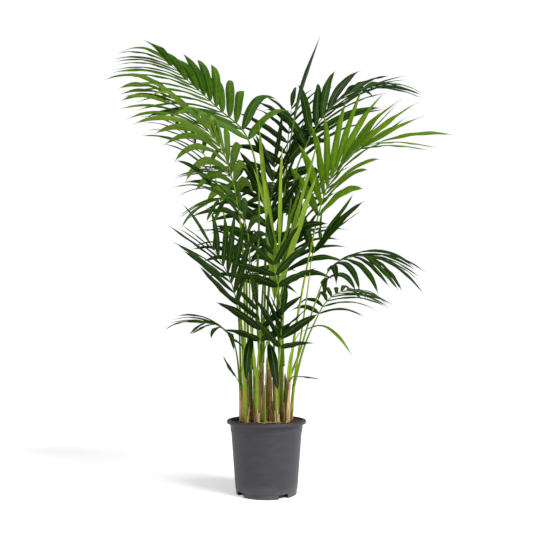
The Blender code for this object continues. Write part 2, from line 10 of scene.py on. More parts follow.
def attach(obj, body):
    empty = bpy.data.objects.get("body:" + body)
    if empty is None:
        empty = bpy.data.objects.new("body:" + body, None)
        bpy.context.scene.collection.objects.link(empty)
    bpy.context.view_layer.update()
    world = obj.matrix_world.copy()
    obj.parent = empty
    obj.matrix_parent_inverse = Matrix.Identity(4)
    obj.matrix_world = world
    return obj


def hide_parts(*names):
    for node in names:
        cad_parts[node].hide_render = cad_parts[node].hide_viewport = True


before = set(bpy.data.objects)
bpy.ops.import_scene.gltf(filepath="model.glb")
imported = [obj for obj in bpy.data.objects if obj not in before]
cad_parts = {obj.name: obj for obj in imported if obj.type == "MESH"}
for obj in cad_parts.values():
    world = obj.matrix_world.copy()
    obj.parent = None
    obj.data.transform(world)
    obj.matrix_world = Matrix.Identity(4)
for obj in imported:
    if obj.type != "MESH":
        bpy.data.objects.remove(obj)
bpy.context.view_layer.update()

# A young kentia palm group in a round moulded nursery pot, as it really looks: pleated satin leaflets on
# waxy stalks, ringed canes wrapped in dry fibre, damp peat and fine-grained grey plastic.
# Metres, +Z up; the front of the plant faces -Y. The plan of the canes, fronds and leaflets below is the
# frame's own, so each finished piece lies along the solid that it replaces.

MM = 0.001
CM = 0.01
GAP = 0.0003

# Pot
RIM_RADIUS = 0.120
POT_HEIGHT = 0.212
LIP_HEIGHT = 0.010
LIP_OVERHANG = 0.009
STEP_HEIGHT = 0.178
STEP_DEPTH = 0.0012
FOOT_RADIUS = 0.0905
FOOT_HEIGHT = 0.014
FOOT_INSET = 0.002
WALL = 0.002
POT_SEGMENTS = 144
SLOT_WIDTH = 0.032
SLOT_HEIGHT = 0.012
SLOT_DEPTH = 0.014
SLOT_TURN = math.radians(-57)
SLOT_ROUND = 0.0025
RIM_ROLL = 0.0035
LIP_ROUND = 0.0012
FOOT_ROUND = 0.0015
INNER_ROUND = 0.001
EDGE_DROP = 0.0006

# Soil
SOIL_HEIGHT = 0.2005
SOIL_LUMP = 0.004
SOIL_RINGS = 34
SOIL_SEGMENTS = 120
PLANTING_DEPTH = 0.020
LOOSE_SOIL = 0.005
LUMPS_PER_METRE = 55
CRUMBS_PER_METRE = 260
CRUMB_RISE = 0.0016
HEAP_HEIGHT = 0.006
HEAP_PLACE = (0.09, -0.01)
HEAP_SPREAD = 0.0006
CRUMBS = 260
CRUMB_MARGIN = 0.006
STRAWS = 44
STRAW_MARGIN = 0.03
STRAW_STEPS = 6
STRAW_SIDES = 5

# Light: an even fill from all round, a glow of the paper that keeps its shadow faint, and two distant lamps,
# each with its place, its width in the sky in degrees and its strength
STUDIO_FILL = 0.36
PAPER_GLOW = 0.4
KEY_LAMP = ("key", (2.1, -1.6, 2.5), 28, 3.1)
FRONT_LAMP = ("front_fill", (0.3, -2.4, 1.2), 40, 0.25)

# Camera: its place, its tilt above level in degrees, and its lens and sensor in mm
EYE = (0.0, -1.75, 0.42)
EYE_TILT = 8.49
LENS = 37.8
SENSOR = 36.0
FLOOR_HALF = 6.0

# The frame's leaflets, whose stations and clearances the plan repeats
RING_SPACING = 0.055
LEAFLET_FOOT = 0.007
LEAFLET_THICKNESS = 0.0011
BLADE_FULLNESS = 2.1
BLADE_RISE = 0.6
BLADE_TAPER = 0.9
TIP_WIDTH = 0.0015
TIP_THICKNESS = 0.0005
SPINE_STEPS = 12
LEAFLET_STATIONS = (0.22, 0.62, 1.0)
GUARD_STATIONS = (0.05, 0.22, 0.42, 0.62, 0.82, 1.0)
CLEARANCE = 0.0008
FOOT_STALK = 0.0033
TIP_STALK = 0.0011
STOUT_LENGTH = 1.1
TIP_ANGLE = 23
LEAST_ANGLE = 9
DROOP_POWER = 1.2
LOUVRE = 45
END_BARE = 0.016
END_LENGTH = 0.7
END_WIDTH = 0.55
RING_CORNERS = ((1, 1), (-1, 1), (-1, -1), (1, -1))

# The finished blades
BLADE_STEPS = 26
BLADE_BREADTH = 1.28
BLADE_COLUMNS = 8
BLADE_THICKNESS = 0.00045
BLADE_KEEL = math.radians(13)
BLADE_ROOT = 0.0024
PLEATS = 5
PLEAT_DEPTH = 0.0005
FINE_TIP = 0.0004

# The finished stalks and canes
STALK_SIDES = 10
STALK_STEP = 0.012
STALK_BODY = 0.0038
STALK_TIP = 0.0009
SHEATH_SWELL = 0.0016
SHEATH_REACH = 0.10
GROOVE = 0.22
GROOVE_SPREAD = 0.5
CANE_SIDES = 20
CANE_STEP = 0.004
CROWN_RINGS = ((0.003, 0.93), (0.007, 0.78), (0.011, 0.5), (0.014, 0.2))
ROOT_SWELL = 0.0022
ROOT_REACH = 0.012
SCAR_SPACING = 0.052
SCAR_HALF = 0.0018
HUSK_STEP = 0.007
HUSK_COLUMNS = 5
HUSK_THICKNESS = 0.0006
STUB_STEPS = 14
STUB_DEPTH = 0.005
SPEAR_STEPS = 90
SPEAR_STALK = 0.0046
SPEAR_BLADE_START = 0.66
SPEAR_BLADE_RISE = 0.16
SPEAR_TIP = 0.13

# What a leaflet tries when it would touch something: turn, droop, twist and share of its length
NUDGES = (
    (0, 0.0, 0, 1.0),
    (6, 0.1, 12, 1.0),
    (-6, -0.1, -12, 1.0),
    (12, 0.2, -20, 1.0),
    (-12, -0.2, 20, 1.0),
    (4, 0.45, 30, 0.95),
    (-4, -0.35, -30, 0.95),
    (14, 0.3, 10, 0.85),
    (-14, -0.3, -10, 0.85),
    (18, -0.2, 40, 0.8),
    (-18, 0.4, -40, 0.8),
    (0, 0.1, 0, 0.7),
    (26, 0.1, 10, 0.9),
    (-24, 0.1, -10, 0.9),
    (20, 0.6, 60, 0.8),
    (-20, -0.5, -60, 0.8),
    (8, -0.2, 20, 0.6),
    (-8, 0.3, -20, 0.6),
    (0, 0.0, 0, 0.45),
    (10, 0.5, 50, 0.5),
    (-10, -0.4, -50, 0.5),
)

# Each cane: foot x, y in cm, top x, y, z in cm, foot radius and top radius in cm
CANES = {
    "cane_1_cut": ((-7.7, 0.6), (-7.9, 0.7, 30.0), 0.62, 0.52),
    "cane_2_green": ((-6.2, -2.2), (-6.7, -2.4, 35.0), 0.72, 0.62),
    "cane_3_olive": ((-4.6, 1.6), (-5.0, 1.8, 36.0), 0.66, 0.56),
    "cane_4_green": ((-2.8, -2.6), (-2.9, -3.0, 34.0), 0.62, 0.56),
    "cane_5_husky": ((-1.2, 1.5), (-1.5, 1.6, 38.0), 0.80, 0.60),
    "cane_7_brown": ((1.2, -0.6), (1.0, -0.5, 36.0), 0.68, 0.60),
    "cane_8_green": ((3.0, -2.8), (3.0, -3.0, 35.0), 0.62, 0.58),
    "cane_9_knobbly": ((4.6, 1.2), (4.6, 1.3, 37.0), 0.76, 0.72),
    "cane_10_fibrous": ((6.0, -1.6), (6.5, -1.6, 33.0), 0.72, 0.64),
    "cane_11_slim": ((7.2, 1.2), (8.4, 1.3, 31.0), 0.54, 0.50),
}
SHOOT = {"shoot_slim": ((-0.5, -3.9), (-0.3, -4.1, 34.0), 0.45, 0.12)}

# Each frond: the cane, the place of its foot on the cane's top and its route in cm, from above the cane to
# the tip of the rachis; where the leaflets start as a share of the route, the pairs, the longest leaflet
# and its width in cm, the widest angle between leaflet and rachis, how hard the leaflets droop, the
# lift of the two rows above the rachis and the roll of the frond about it, all angles in degrees.
FRONDS = [
    ("frond_high_left_front", "cane_2_green", (-0.3, -0.3),
     [(-6.6, -3, 50), (-7.5, -5, 75), (-10, -8, 92), (-14, -12, 103), (-21, -17, 110), (-30, -22, 117)],
     0.58, 14, 26, 3.1, 44, 1.3, 4, -10),
    ("frond_high_right_front", "cane_10_fibrous", (0.3, -0.2),
     [(9, -2.5, 49), (13, -5, 70), (17, -8.5, 87), (21, -11, 96), (26.5, -14, 101), (34, -17, 103)],
     0.62, 12, 29, 2.9, 40, 0.55, 12, 60),
    ("frond_top_centre", "cane_7_brown", (0.0, 0.35),
     [(0.5, 2, 58), (4, 7, 85), (7, 14, 110), (8.5, 20, 124), (9.5, 25, 133)],
     0.64, 8, 28, 3.8, 52, 0.6, 12, 0),
    ("frond_top_left", "cane_5_husky", (-0.4, -0.1),
     [(-3, 1, 58), (-2.6, 5, 95), (-7, 9, 115), (-17, 14, 127), (-28, 18, 139), (-38.5, 22, 150.5)],
     0.60, 15, 31, 4.0, 42, 0.9, 22, -44),
    ("frond_top_right", "cane_9_knobbly", (0.5, -0.1),
     [(5, 2, 58), (8.6, 8, 95), (14, 12, 113), (22, 16, 127), (31, 20, 136), (41, 24, 141)],
     0.60, 12, 32, 3.6, 36, 0.8, 14, 40),
    ("frond_slim_left", "cane_2_green", (-0.1, 0.4),
     [(-7.6, -1, 47), (-10, 2, 68), (-13.5, 3, 84), (-17.5, 5, 100), (-23, 6.5, 110), (-31, 8, 119)],
     0.66, 7, 21, 2.0, 46, 0.8, 5, -30),
    ("frond_young_centre", "cane_7_brown", (-0.3, -0.3),
     [(0.4, -3.6, 49), (2.4, -6.2, 57), (3.4, -7.4, 64), (3.7, -7.8, 71)],
     0.62, 3, 50, 2.4, 12, 0.04, 6, 0),
    ("frond_mid_left", "cane_4_green", (-0.3, 0.3),
     [(-5, -4, 53), (-5.4, -6, 75), (-8, -9, 84), (-10.5, -12, 87), (-15, -17, 85)],
     0.62, 7, 23, 2.3, 56, 1.1, 0, -25),
    ("frond_low_left", "cane_1_cut", (0.1, 0.35),
     [(-8.4, 0, 47), (-9.2, -1.5, 56), (-11, -4, 63), (-13.5, -7, 68), (-16.5, -10, 73)],
     0.56, 7, 22, 2.4, 44, 0.25, 5, 6),
    ("frond_mid_right", "cane_11_slim", (0.0, 0.3),
     [(10.4, 1.6, 44), (13, 2.5, 60), (15, 4, 73), (18.5, 5, 79)],
     0.86, 2, 27, 2.9, 30, 0.2, 8, 50),
    ("frond_drooping_right", "cane_10_fibrous", (0.2, 0.45),
     [(10, -2, 41), (13, -5, 51), (16.8, -9, 62), (20, -13, 67), (26, -18, 68.5), (31, -22, 67)],
     0.58, 7, 24, 2.4, 48, 1.25, 0, 25),
    ("frond_front_centre", "cane_8_green", (0.2, 0.3),
     [(4.6, -5, 48), (3.6, -10, 60), (2.4, -13, 65), (1.8, -15, 71)],
     0.70, 4, 16, 3.3, 62, 0.4, 10, 16),
    ("frond_low_front", "cane_8_green", (-0.2, -0.3),
     [(4.0, -8, 41), (4.1, -11.5, 45), (4.6, -13.5, 52)],
     0.50, 4, 15, 3.2, 44, 0.3, 10, -22),
    ("frond_low_centre", "cane_4_green", (0.1, -0.35),
     [(-2.3, -6, 42), (-1.8, -9, 48), (-2.8, -12, 55)],
     0.50, 4, 16, 3.2, 48, 0.5, 10, 14),
    ("frond_bottom_left", "cane_1_cut", (-0.2, -0.35),
     [(-9, -1.5, 40), (-10.5, -6, 46), (-14, -10, 49), (-19, -13, 50)],
     0.55, 5, 16, 1.8, 50, 0.8, 5, -20),
    ("frond_low_right_back", "cane_11_slim", (0.1, -0.25),
     [(11.5, 2.5, 42), (15.6, 6, 51), (20, 11, 58), (26, 16, 62), (33, 21, 63)],
     0.52, 9, 21, 2.1, 52, 1.0, 5, 20),
    ("frond_inner_left", "cane_5_husky", (0.3, -0.42),
     [(-1.4, 0.5, 56), (0.2, 2.6, 78), (1.6, 4, 92), (2.8, 5, 104)],
     0.56, 6, 27, 3.6, 50, 0.45, 10, 15),
    ("frond_inner_right", "cane_7_brown", (0.48, -0.22),
     [(4, 0.2, 56), (8, 2, 76), (11.5, 4, 88), (16, 5.5, 97)],
     0.60, 6, 24, 3.1, 52, 0.6, 10, 10),
    ("frond_left_back", "cane_3_olive", (-0.3, 0.1),
     [(-6.2, 3, 56), (-7.4, 10, 87), (-10, 16, 98), (-14, 21, 105), (-19, 26, 109)],
     0.62, 8, 24, 3.0, 54, 0.8, 8, -20),
    ("frond_mid_back", "cane_5_husky", (0.3, 0.36),
     [(-0.5, 5, 60), (0, 13, 85), (1, 22, 99), (3, 31, 105), (4, 40, 106)],
     0.58, 10, 27, 3.4, 58, 0.8, 8, 0),
    ("frond_low_back_left", "cane_3_olive", (0.3, 0.3),
     [(-4.5, 7, 54), (-5, 14, 70), (-8, 21, 81), (-11, 28, 86)],
     0.50, 8, 23, 3.0, 54, 0.9, 5, 0),
    ("frond_low_back_right", "cane_9_knobbly", (-0.2, 0.5),
     [(5.5, 7, 54), (7, 14, 70), (10, 21, 81), (13, 28, 86)],
     0.50, 8, 23, 3.0, 54, 0.9, 5, 0),
    ("leaf_single_right", "cane_10_fibrous", (-0.2, -0.4),
     [(7, -6, 40), (9, -9, 46), (11.6, -11, 48)],
     0.86, 0, 19, 2.3, 40, 2.2, 0, 0),
    ("leaf_hanging_left", "cane_3_olive", (0.15, -0.4),
     [(-4.4, 0, 41), (-4.3, -2.5, 47), (-4.6, -5.5, 46)],
     0.86, 0, 17, 2.6, 40, 1.8, 0, 0),
    ("leaf_hanging_centre", "cane_4_green", (0.42, 0.15),
     [(-1.0, -3.5, 40), (0.2, -5, 45), (0.8, -7.2, 44)],
     0.86, 0, 17, 2.8, 40, 1.8, 0, 0),
    ("leaf_small_left", "cane_1_cut", (0.35, -0.1),
     [(-8.2, -2.2, 32), (-9.2, -3.2, 34)],
     0.86, 0, 8, 1.8, 40, 0.2, 0, 0),
    ("leaf_small_right", "cane_10_fibrous", (0.62, -0.62),
     [(7.9, -3.3, 34), (9.4, -4.6, 34.2)],
     0.86, 0, 8, 1.6, 40, 0.3, 0, 0),
]

# Each unopened spear leaf: its cane, foot, route and thickest radius in cm
SPEARS = [
    ("spear_leaf_top", "cane_9_knobbly", (-0.25, -0.5),
     [(3.6, 0.8, 60), (6, 3, 95), (8.8, 5, 116), (12.5, 7, 133), (19, 9, 152)], 0.70),
]

# How each frond looks: tone of its leaflets and of its stalk, from 0 deep green to 1 bright yellow-green
TONES = {
    "frond_high_left_front": (0.66, 0.85),
    "frond_high_right_front": (0.72, 0.90),
    "frond_top_left": (0.51, 0.62),
    "frond_top_right": (0.30, 0.55),
    "frond_top_centre": (0.24, 0.45),
    "frond_slim_left": (0.42, 0.75),
    "frond_young_centre": (0.90, 1.00),
    "frond_mid_left": (0.42, 0.92),
    "frond_inner_left": (0.26, 0.50),
    "frond_inner_right": (0.30, 0.55),
    "frond_low_left": (0.27, 0.60),
    "frond_mid_right": (0.36, 0.82),
    "frond_drooping_right": (0.27, 0.72),
    "frond_front_centre": (0.20, 0.86),
    "frond_low_front": (0.20, 0.80),
    "frond_low_centre": (0.18, 0.78),
    "frond_bottom_left": (0.26, 0.55),
    "frond_low_right_back": (0.28, 0.70),
    "frond_left_back": (0.32, 0.70),
    "frond_mid_back": (0.32, 0.66),
    "frond_low_back_left": (0.26, 0.62),
    "frond_low_back_right": (0.26, 0.62),
    "leaf_single_right": (0.74, 0.95),
    "leaf_hanging_left": (0.16, 0.60),
    "leaf_hanging_centre": (0.12, 0.60),
    "leaf_small_left": (0.22, 0.60),
    "leaf_small_right": (0.25, 0.60),
}

# How each cane looks: how dry its skin is, from 0 green to 1 brown, and how bright its green part is
CANE_LOOKS = {
    "cane_1_cut": (0.80, 0.35),
    "cane_2_green": (0.10, 0.90),
    "cane_3_olive": (0.42, 0.45),
    "cane_4_green": (0.14, 0.95),
    "cane_5_husky": (0.85, 0.35),
    "cane_7_brown": (0.72, 0.35),
    "cane_8_green": (0.16, 0.90),
    "cane_9_knobbly": (0.30, 0.60),
    "cane_10_fibrous": (0.62, 0.50),
    "cane_11_slim": (0.12, 0.85),
    "shoot_slim": (0.05, 0.75),
}

# Dry sheath strips on each cane: how many, the tallest in cm and the tone of the palest
HUSKS = {
    "cane_1_cut": (11, 11.0, 0.95),
    "cane_2_green": (8, 6.0, 0.85),
    "cane_3_olive": (9, 9.0, 0.75),
    "cane_4_green": (8, 5.0, 0.85),
    "cane_5_husky": (14, 24.0, 0.85),
    "cane_7_brown": (12, 16.0, 0.75),
    "cane_8_green": (9, 5.5, 1.0),
    "cane_9_knobbly": (10, 8.0, 0.85),
    "cane_10_fibrous": (14, 15.0, 0.98),
    "cane_11_slim": (6, 5.0, 0.75),
}

# Old leaf stubs between the canes: foot x, y and top x, y, z in cm, radius in mm and how dry they are
STUBS = [
    ((-6.9, 2.0), (-7.4, 2.6, 32), 2.8, 0.80),
    ((-5.5, 0.2), (-5.9, 0.6, 38), 3.4, 0.55),
    ((-3.7, 0.2), (-4.0, 0.8, 41), 3.2, 0.30),
    ((-2.1, 3.0), (-2.2, 3.6, 36), 3.6, 0.90),
    ((-3.4, 3.4), (-3.6, 4.4, 40), 3.0, 0.30),
    ((0.1, 2.4), (0.2, 3.0, 40), 3.4, 0.85),
    ((2.2, 2.2), (2.3, 3.0, 41), 3.6, 0.45),
    ((2.0, -2.0), (2.1, -2.3, 29), 3.0, 0.95),
    ((3.8, -0.6), (3.9, -0.8, 38), 3.4, 0.50),
    ((5.4, -0.2), (5.7, -0.4, 35), 3.2, 0.90),
    ((6.8, 2.8), (7.4, 3.2, 34), 3.0, 0.60),
    ((4.9, 3.6), (5.2, 4.4, 41), 3.0, 0.35),
]


def linear(code):
    """The linear colour of an sRGB hex value."""
    shares = [int(code[place:place + 2], 16) / 255 for place in (1, 3, 5)]
    red_green_blue = [share / 12.92 if share <= 0.04045 else ((share + 0.055) / 1.055) ** 2.4
                      for share in shares]
    return (*red_green_blue, 1.0)


def add(tree, kind, settings=None, inputs=None, stops=None):
    """Add a node with its settings, its sockets' values or links, and a ramp's stops."""
    made = tree.nodes.new("ShaderNode" + kind)
    for name, value in (settings or {}).items():
        setattr(made, name, value)
    for name, value in (inputs or {}).items():
        if isinstance(value, bpy.types.NodeSocket):
            tree.links.new(value, made.inputs[name])
        else:
            made.inputs[name].default_value = value
    if stops:
        elements = made.color_ramp.elements
        while len(elements) < len(stops):
            elements.new(1.0)
        for element, (place, colour) in zip(elements, stops):
            element.position = place
            element.color = linear(colour)
    return made


def new_material(name):
    """An empty material and its tree."""
    material = bpy.data.materials.new(name)
    material.use_nodes = True
    material.node_tree.nodes.clear()
    return material, material.node_tree


# ---------------------------------------------------------------- materials

LEAF_GREENS = [(0.0, "#0a1a02"), (0.25, "#1b3904"), (0.45, "#37620a"), (0.65, "#628e16"),
               (0.85, "#8db71f"), (1.0, "#aed034")]
LEAF_UNDERSIDES = [(0.0, "#142808"), (0.25, "#284710"), (0.45, "#466a1a"), (0.65, "#6c9028"),
                   (0.85, "#91b336"), (1.0, "#adca48")]


def leaf_material(name, greens, roughness, vein_depth):
    """Living palm leaf: parallel veins, a paler midrib and straw tips, and light that glows through it."""
    material, tree = new_material(name)
    tone = add(tree, "Attribute", {"attribute_name": "tone"}).outputs["Fac"]
    coords = add(tree, "TexCoord")
    place = add(tree, "SeparateXYZ", inputs={"Vector": coords.outputs["UV"]})
    along, across = place.outputs["X"], place.outputs["Y"]
    # patches of 25 mm, as chlorophyll varies over a leaf
    patches = add(tree, "TexNoise", inputs={"Vector": coords.outputs["Object"], "Scale": 1 / (25 * MM),
                                            "Detail": 3.0, "Roughness": 0.6})
    varied = add(tree, "MapRange", inputs={
        "Value": patches.outputs["Fac"], "From Min": 0.3, "From Max": 0.7, "To Min": -0.05, "To Max": 0.05})
    mixed = add(tree, "Math", {"operation": "ADD"}, {0: tone, 1: varied.outputs["Result"]})
    green = add(tree, "ValToRGB", inputs={"Fac": mixed.outputs["Value"]}, stops=greens)
    # veins 1.6 mm apart on a 36 mm blade, drawn coarser than the real 0.5 mm ones so that they show
    stretched = add(tree, "CombineXYZ", inputs={"X": add(tree, "Math", {"operation": "MULTIPLY"},
                                                         {0: along, 1: 0.35}).outputs["Value"],
                                                "Y": across})
    veins = add(tree, "TexWave", {"wave_type": "BANDS", "bands_direction": "Y", "wave_profile": "SIN"},
                {"Vector": stretched.outputs["Vector"], "Scale": 7.0, "Distortion": 0.6, "Detail": 1.0})
    veined = add(tree, "MixRGB", {"blend_type": "MULTIPLY"},
                 {"Fac": 0.22, "Color1": green.outputs["Color"], "Color2": veins.outputs["Color"]})
    # the midrib, about 2 mm wide and paler than the blade
    offset = add(tree, "Math", {"operation": "SUBTRACT"}, {0: across, 1: 0.5})
    distance = add(tree, "Math", {"operation": "ABSOLUTE"}, {0: offset.outputs["Value"]})
    midrib = add(tree, "MapRange", {"interpolation_type": "SMOOTHSTEP"},
                 {"Value": distance.outputs["Value"], "From Min": 0.012, "From Max": 0.05,
                  "To Min": 0.34, "To Max": 0.0})
    ribbed = add(tree, "MixRGB", inputs={"Fac": midrib.outputs["Result"], "Color1": veined.outputs["Color"],
                                         "Color2": linear("#8fae45")})
    # the last few per cent of some tips have dried to straw
    dry_edge = add(tree, "Math", {"operation": "ADD"}, {0: along, 1: varied.outputs["Result"]})
    dryness = add(tree, "MapRange", {"interpolation_type": "SMOOTHSTEP"},
                  {"Value": dry_edge.outputs["Value"], "From Min": 0.965, "From Max": 1.01,
                   "To Min": 0.0, "To Max": 0.85})
    colour = add(tree, "MixRGB", inputs={
        "Fac": dryness.outputs["Result"], "Color1": ribbed.outputs["Color"],
        "Color2": linear("#94803f")}).outputs["Color"]
    bump = add(tree, "Bump", inputs={
        "Height": veins.outputs["Fac"], "Strength": 0.35, "Distance": vein_depth})
    rough = add(tree, "MapRange", inputs={"Value": patches.outputs["Fac"], "To Min": roughness - 0.07,
                                          "To Max": roughness + 0.07})
    shader = add(tree, "BsdfPrincipled", inputs={
        "Base Color": colour, "Roughness": rough.outputs["Result"], "IOR": 1.45, "Metallic": 0.0,
        "Specular IOR Level": 0.11, "Normal": bump.outputs["Normal"]})
    # a fifth of the light passes through the blade and comes out yellower
    glow = add(tree, "HueSaturation", inputs={
        "Color": colour, "Hue": 0.485, "Saturation": 1.15, "Value": 1.6})
    through = add(tree, "BsdfTranslucent", inputs={"Color": glow.outputs["Color"]})
    both = add(tree, "MixShader", inputs={
        "Fac": 0.2, 1: shader.outputs["BSDF"], 2: through.outputs["BSDF"]})
    add(tree, "OutputMaterial", inputs={"Surface": both.outputs["Shader"]})
    return material


def stalk_material():
    """Waxy petiole skin: smooth yellow-green with fine lengthwise streaks and a soft shine."""
    material, tree = new_material("waxy_petiole_skin")
    tone = add(tree, "Attribute", {"attribute_name": "tone"}).outputs["Fac"]
    coords = add(tree, "TexCoord")
    # fibres 1.5 mm apart that run 60 mm lengthwise, since the stalks stand nearly upright
    stretch = add(tree, "Mapping", inputs={"Vector": coords.outputs["Object"], "Scale": (1.0, 1.0, 0.025)})
    fibres = add(tree, "TexNoise", inputs={"Vector": stretch.outputs["Vector"], "Scale": 1 / (1.5 * MM),
                                           "Detail": 2.0})
    blotches = add(tree, "TexNoise", inputs={"Vector": coords.outputs["Object"], "Scale": 1 / (35 * MM),
                                             "Detail": 2.0})
    both = add(tree, "Math", {"operation": "ADD"}, {0: fibres.outputs["Fac"], 1: blotches.outputs["Fac"]})
    varied = add(tree, "MapRange", inputs={"Value": both.outputs["Value"], "From Min": 0.6, "From Max": 1.4,
                                           "To Min": -0.10, "To Max": 0.10})
    mixed = add(tree, "Math", {"operation": "ADD"}, {0: tone, 1: varied.outputs["Result"]})
    colour = add(tree, "ValToRGB", inputs={"Fac": mixed.outputs["Value"]}, stops=[
        (0.0, "#1a2c08"), (0.3, "#36520b"), (0.6, "#5a7a0f"), (0.85, "#82a01a"), (1.0, "#a3ba30")])
    bump = add(tree, "Bump", inputs={
        "Height": fibres.outputs["Fac"], "Strength": 0.25, "Distance": 0.3 * MM})
    shader = add(tree, "BsdfPrincipled", inputs={
        "Base Color": colour.outputs["Color"], "Roughness": 0.38, "IOR": 1.45, "Specular IOR Level": 0.25,
        "Normal": bump.outputs["Normal"]})
    add(tree, "OutputMaterial", inputs={"Surface": shader.outputs["BSDF"]})
    return material


def cane_material():
    """Ringed cane skin: green where it is fresh, tan and corky where its sheaths have dried."""
    material, tree = new_material("ringed_cane_skin")
    tone = add(tree, "Attribute", {"attribute_name": "tone"}).outputs["Fac"]
    dry = add(tree, "Attribute", {"attribute_name": "dry"}).outputs["Fac"]
    scar = add(tree, "Attribute", {"attribute_name": "scar"}).outputs["Fac"]
    coords = add(tree, "TexCoord")
    stretch = add(tree, "Mapping", inputs={"Vector": coords.outputs["Object"], "Scale": (1.0, 1.0, 0.06)})
    # bark fibres 3 mm wide and 50 mm long, coarser than the real 1 mm ones so that they show
    fibres = add(tree, "TexNoise", inputs={"Vector": stretch.outputs["Vector"], "Scale": 1 / (3 * MM),
                                           "Detail": 4.0, "Roughness": 0.65})
    patches = add(tree, "TexNoise", inputs={"Vector": coords.outputs["Object"], "Scale": 1 / (14 * MM),
                                            "Detail": 3.0})
    fresh_place = add(tree, "Math", {"operation": "MULTIPLY_ADD"},
                      {0: fibres.outputs["Fac"], 1: 0.3, 2: tone})
    fresh = add(tree, "ValToRGB", inputs={"Fac": fresh_place.outputs["Value"]}, stops=[
        (0.15, "#22360a"), (0.5, "#42600f"), (0.75, "#66841a"), (1.0, "#8da32c")])
    dead = add(tree, "ValToRGB", inputs={"Fac": fibres.outputs["Fac"]}, stops=[
        (0.32, "#33220f"), (0.45, "#705230"), (0.56, "#a5844f"), (0.7, "#c7ab78")])
    edge = add(tree, "Math", {"operation": "ADD"}, {0: dry, 1: patches.outputs["Fac"]})
    share = add(tree, "MapRange", {"interpolation_type": "SMOOTHSTEP"},
                {"Value": edge.outputs["Value"], "From Min": 0.92, "From Max": 1.12,
                 "To Min": 0.0, "To Max": 1.0})
    skin = add(tree, "MixRGB", inputs={"Fac": share.outputs["Result"], "Color1": fresh.outputs["Color"],
                                       "Color2": dead.outputs["Color"]})
    # the scar that a fallen sheath leaves is a dull brown ring
    scarred = add(tree, "MixRGB", inputs={"Fac": scar, "Color1": skin.outputs["Color"],
                                          "Color2": linear("#6b5a36")})
    bump = add(tree, "Bump", inputs={
        "Height": fibres.outputs["Fac"], "Strength": 0.6, "Distance": 0.6 * MM})
    rough = add(tree, "MapRange", inputs={"Value": share.outputs["Result"], "To Min": 0.42, "To Max": 0.85})
    shader = add(tree, "BsdfPrincipled", inputs={
        "Base Color": scarred.outputs["Color"], "Roughness": rough.outputs["Result"], "IOR": 1.45,
        "Specular IOR Level": 0.2, "Normal": bump.outputs["Normal"]})
    add(tree, "OutputMaterial", inputs={"Surface": shader.outputs["BSDF"]})
    return material


def husk_material():
    """Dry sheath fibre: papery strips, tan where they are thin and brown in their folds."""
    material, tree = new_material("dry_sheath_fibre")
    tone = add(tree, "Attribute", {"attribute_name": "tone"}).outputs["Fac"]
    coords = add(tree, "TexCoord")
    stretch = add(tree, "Mapping", inputs={"Vector": coords.outputs["Object"], "Scale": (1.0, 1.0, 0.05)})
    # fibres 3.5 mm wide and 70 mm long, coarser than the real 1 mm ones so that they show
    fibres = add(tree, "TexNoise", inputs={"Vector": stretch.outputs["Vector"], "Scale": 1 / (3.5 * MM),
                                           "Detail": 5.0, "Roughness": 0.7})
    stains = add(tree, "TexNoise", inputs={"Vector": coords.outputs["Object"], "Scale": 1 / (18 * MM),
                                           "Detail": 3.0})
    mixed = add(tree, "Math", {"operation": "MULTIPLY_ADD"}, {0: fibres.outputs["Fac"], 1: 1.5, 2: tone})
    spread = add(tree, "Math", {"operation": "MULTIPLY_ADD"},
                 {0: stains.outputs["Fac"], 1: 0.5, 2: mixed.outputs["Value"]})
    place = add(tree, "MapRange", inputs={
        "Value": spread.outputs["Value"], "From Min": 0.92, "From Max": 2.22, "To Min": 0.0, "To Max": 1.0})
    colour = add(tree, "ValToRGB", inputs={"Fac": place.outputs["Result"]}, stops=[
        (0.05, "#281809"), (0.25, "#6a4a29"), (0.42, "#a67f50"), (0.6, "#d2af7a"), (0.85, "#ecd5a6")])
    bump = add(tree, "Bump", inputs={
        "Height": fibres.outputs["Fac"], "Strength": 0.8, "Distance": 0.5 * MM})
    shader = add(tree, "BsdfPrincipled", inputs={
        "Base Color": colour.outputs["Color"], "Roughness": 0.82, "IOR": 1.45, "Specular IOR Level": 0.2,
        "Normal": bump.outputs["Normal"]})
    add(tree, "OutputMaterial", inputs={"Surface": shader.outputs["BSDF"]})
    return material


def soil_material():
    """Damp peat: dark red-brown crumbs with lighter fibres and a dull, uneven surface."""
    material, tree = new_material("damp_peat")
    coords = add(tree, "TexCoord")
    # crumbs of 4 mm, and grains of 3 mm, coarser than the real 1 mm ones so that they show
    crumbs = add(tree, "TexVoronoi", inputs={"Vector": coords.outputs["Object"], "Scale": 1 / (4 * MM)})
    grains = add(tree, "TexNoise", inputs={"Vector": coords.outputs["Object"], "Scale": 1 / (3 * MM),
                                           "Detail": 6.0, "Roughness": 0.7})
    both = add(tree, "Math", {"operation": "MULTIPLY"},
               {0: crumbs.outputs["Distance"], 1: grains.outputs["Fac"]})
    colour = add(tree, "ValToRGB", inputs={"Fac": grains.outputs["Fac"]}, stops=[
        (0.3, "#1e100a"), (0.45, "#3c2216"), (0.57, "#5c3824"), (0.72, "#8a5e3d")])
    bump = add(tree, "Bump", inputs={"Height": both.outputs["Value"], "Strength": 0.9, "Distance": 2 * MM})
    rough = add(tree, "MapRange", inputs={"Value": grains.outputs["Fac"], "To Min": 0.7, "To Max": 1.0})
    shader = add(tree, "BsdfPrincipled", inputs={
        "Base Color": colour.outputs["Color"], "Roughness": rough.outputs["Result"],
        "IOR": 1.4, "Normal": bump.outputs["Normal"]})
    add(tree, "OutputMaterial", inputs={"Surface": shader.outputs["BSDF"]})
    return material


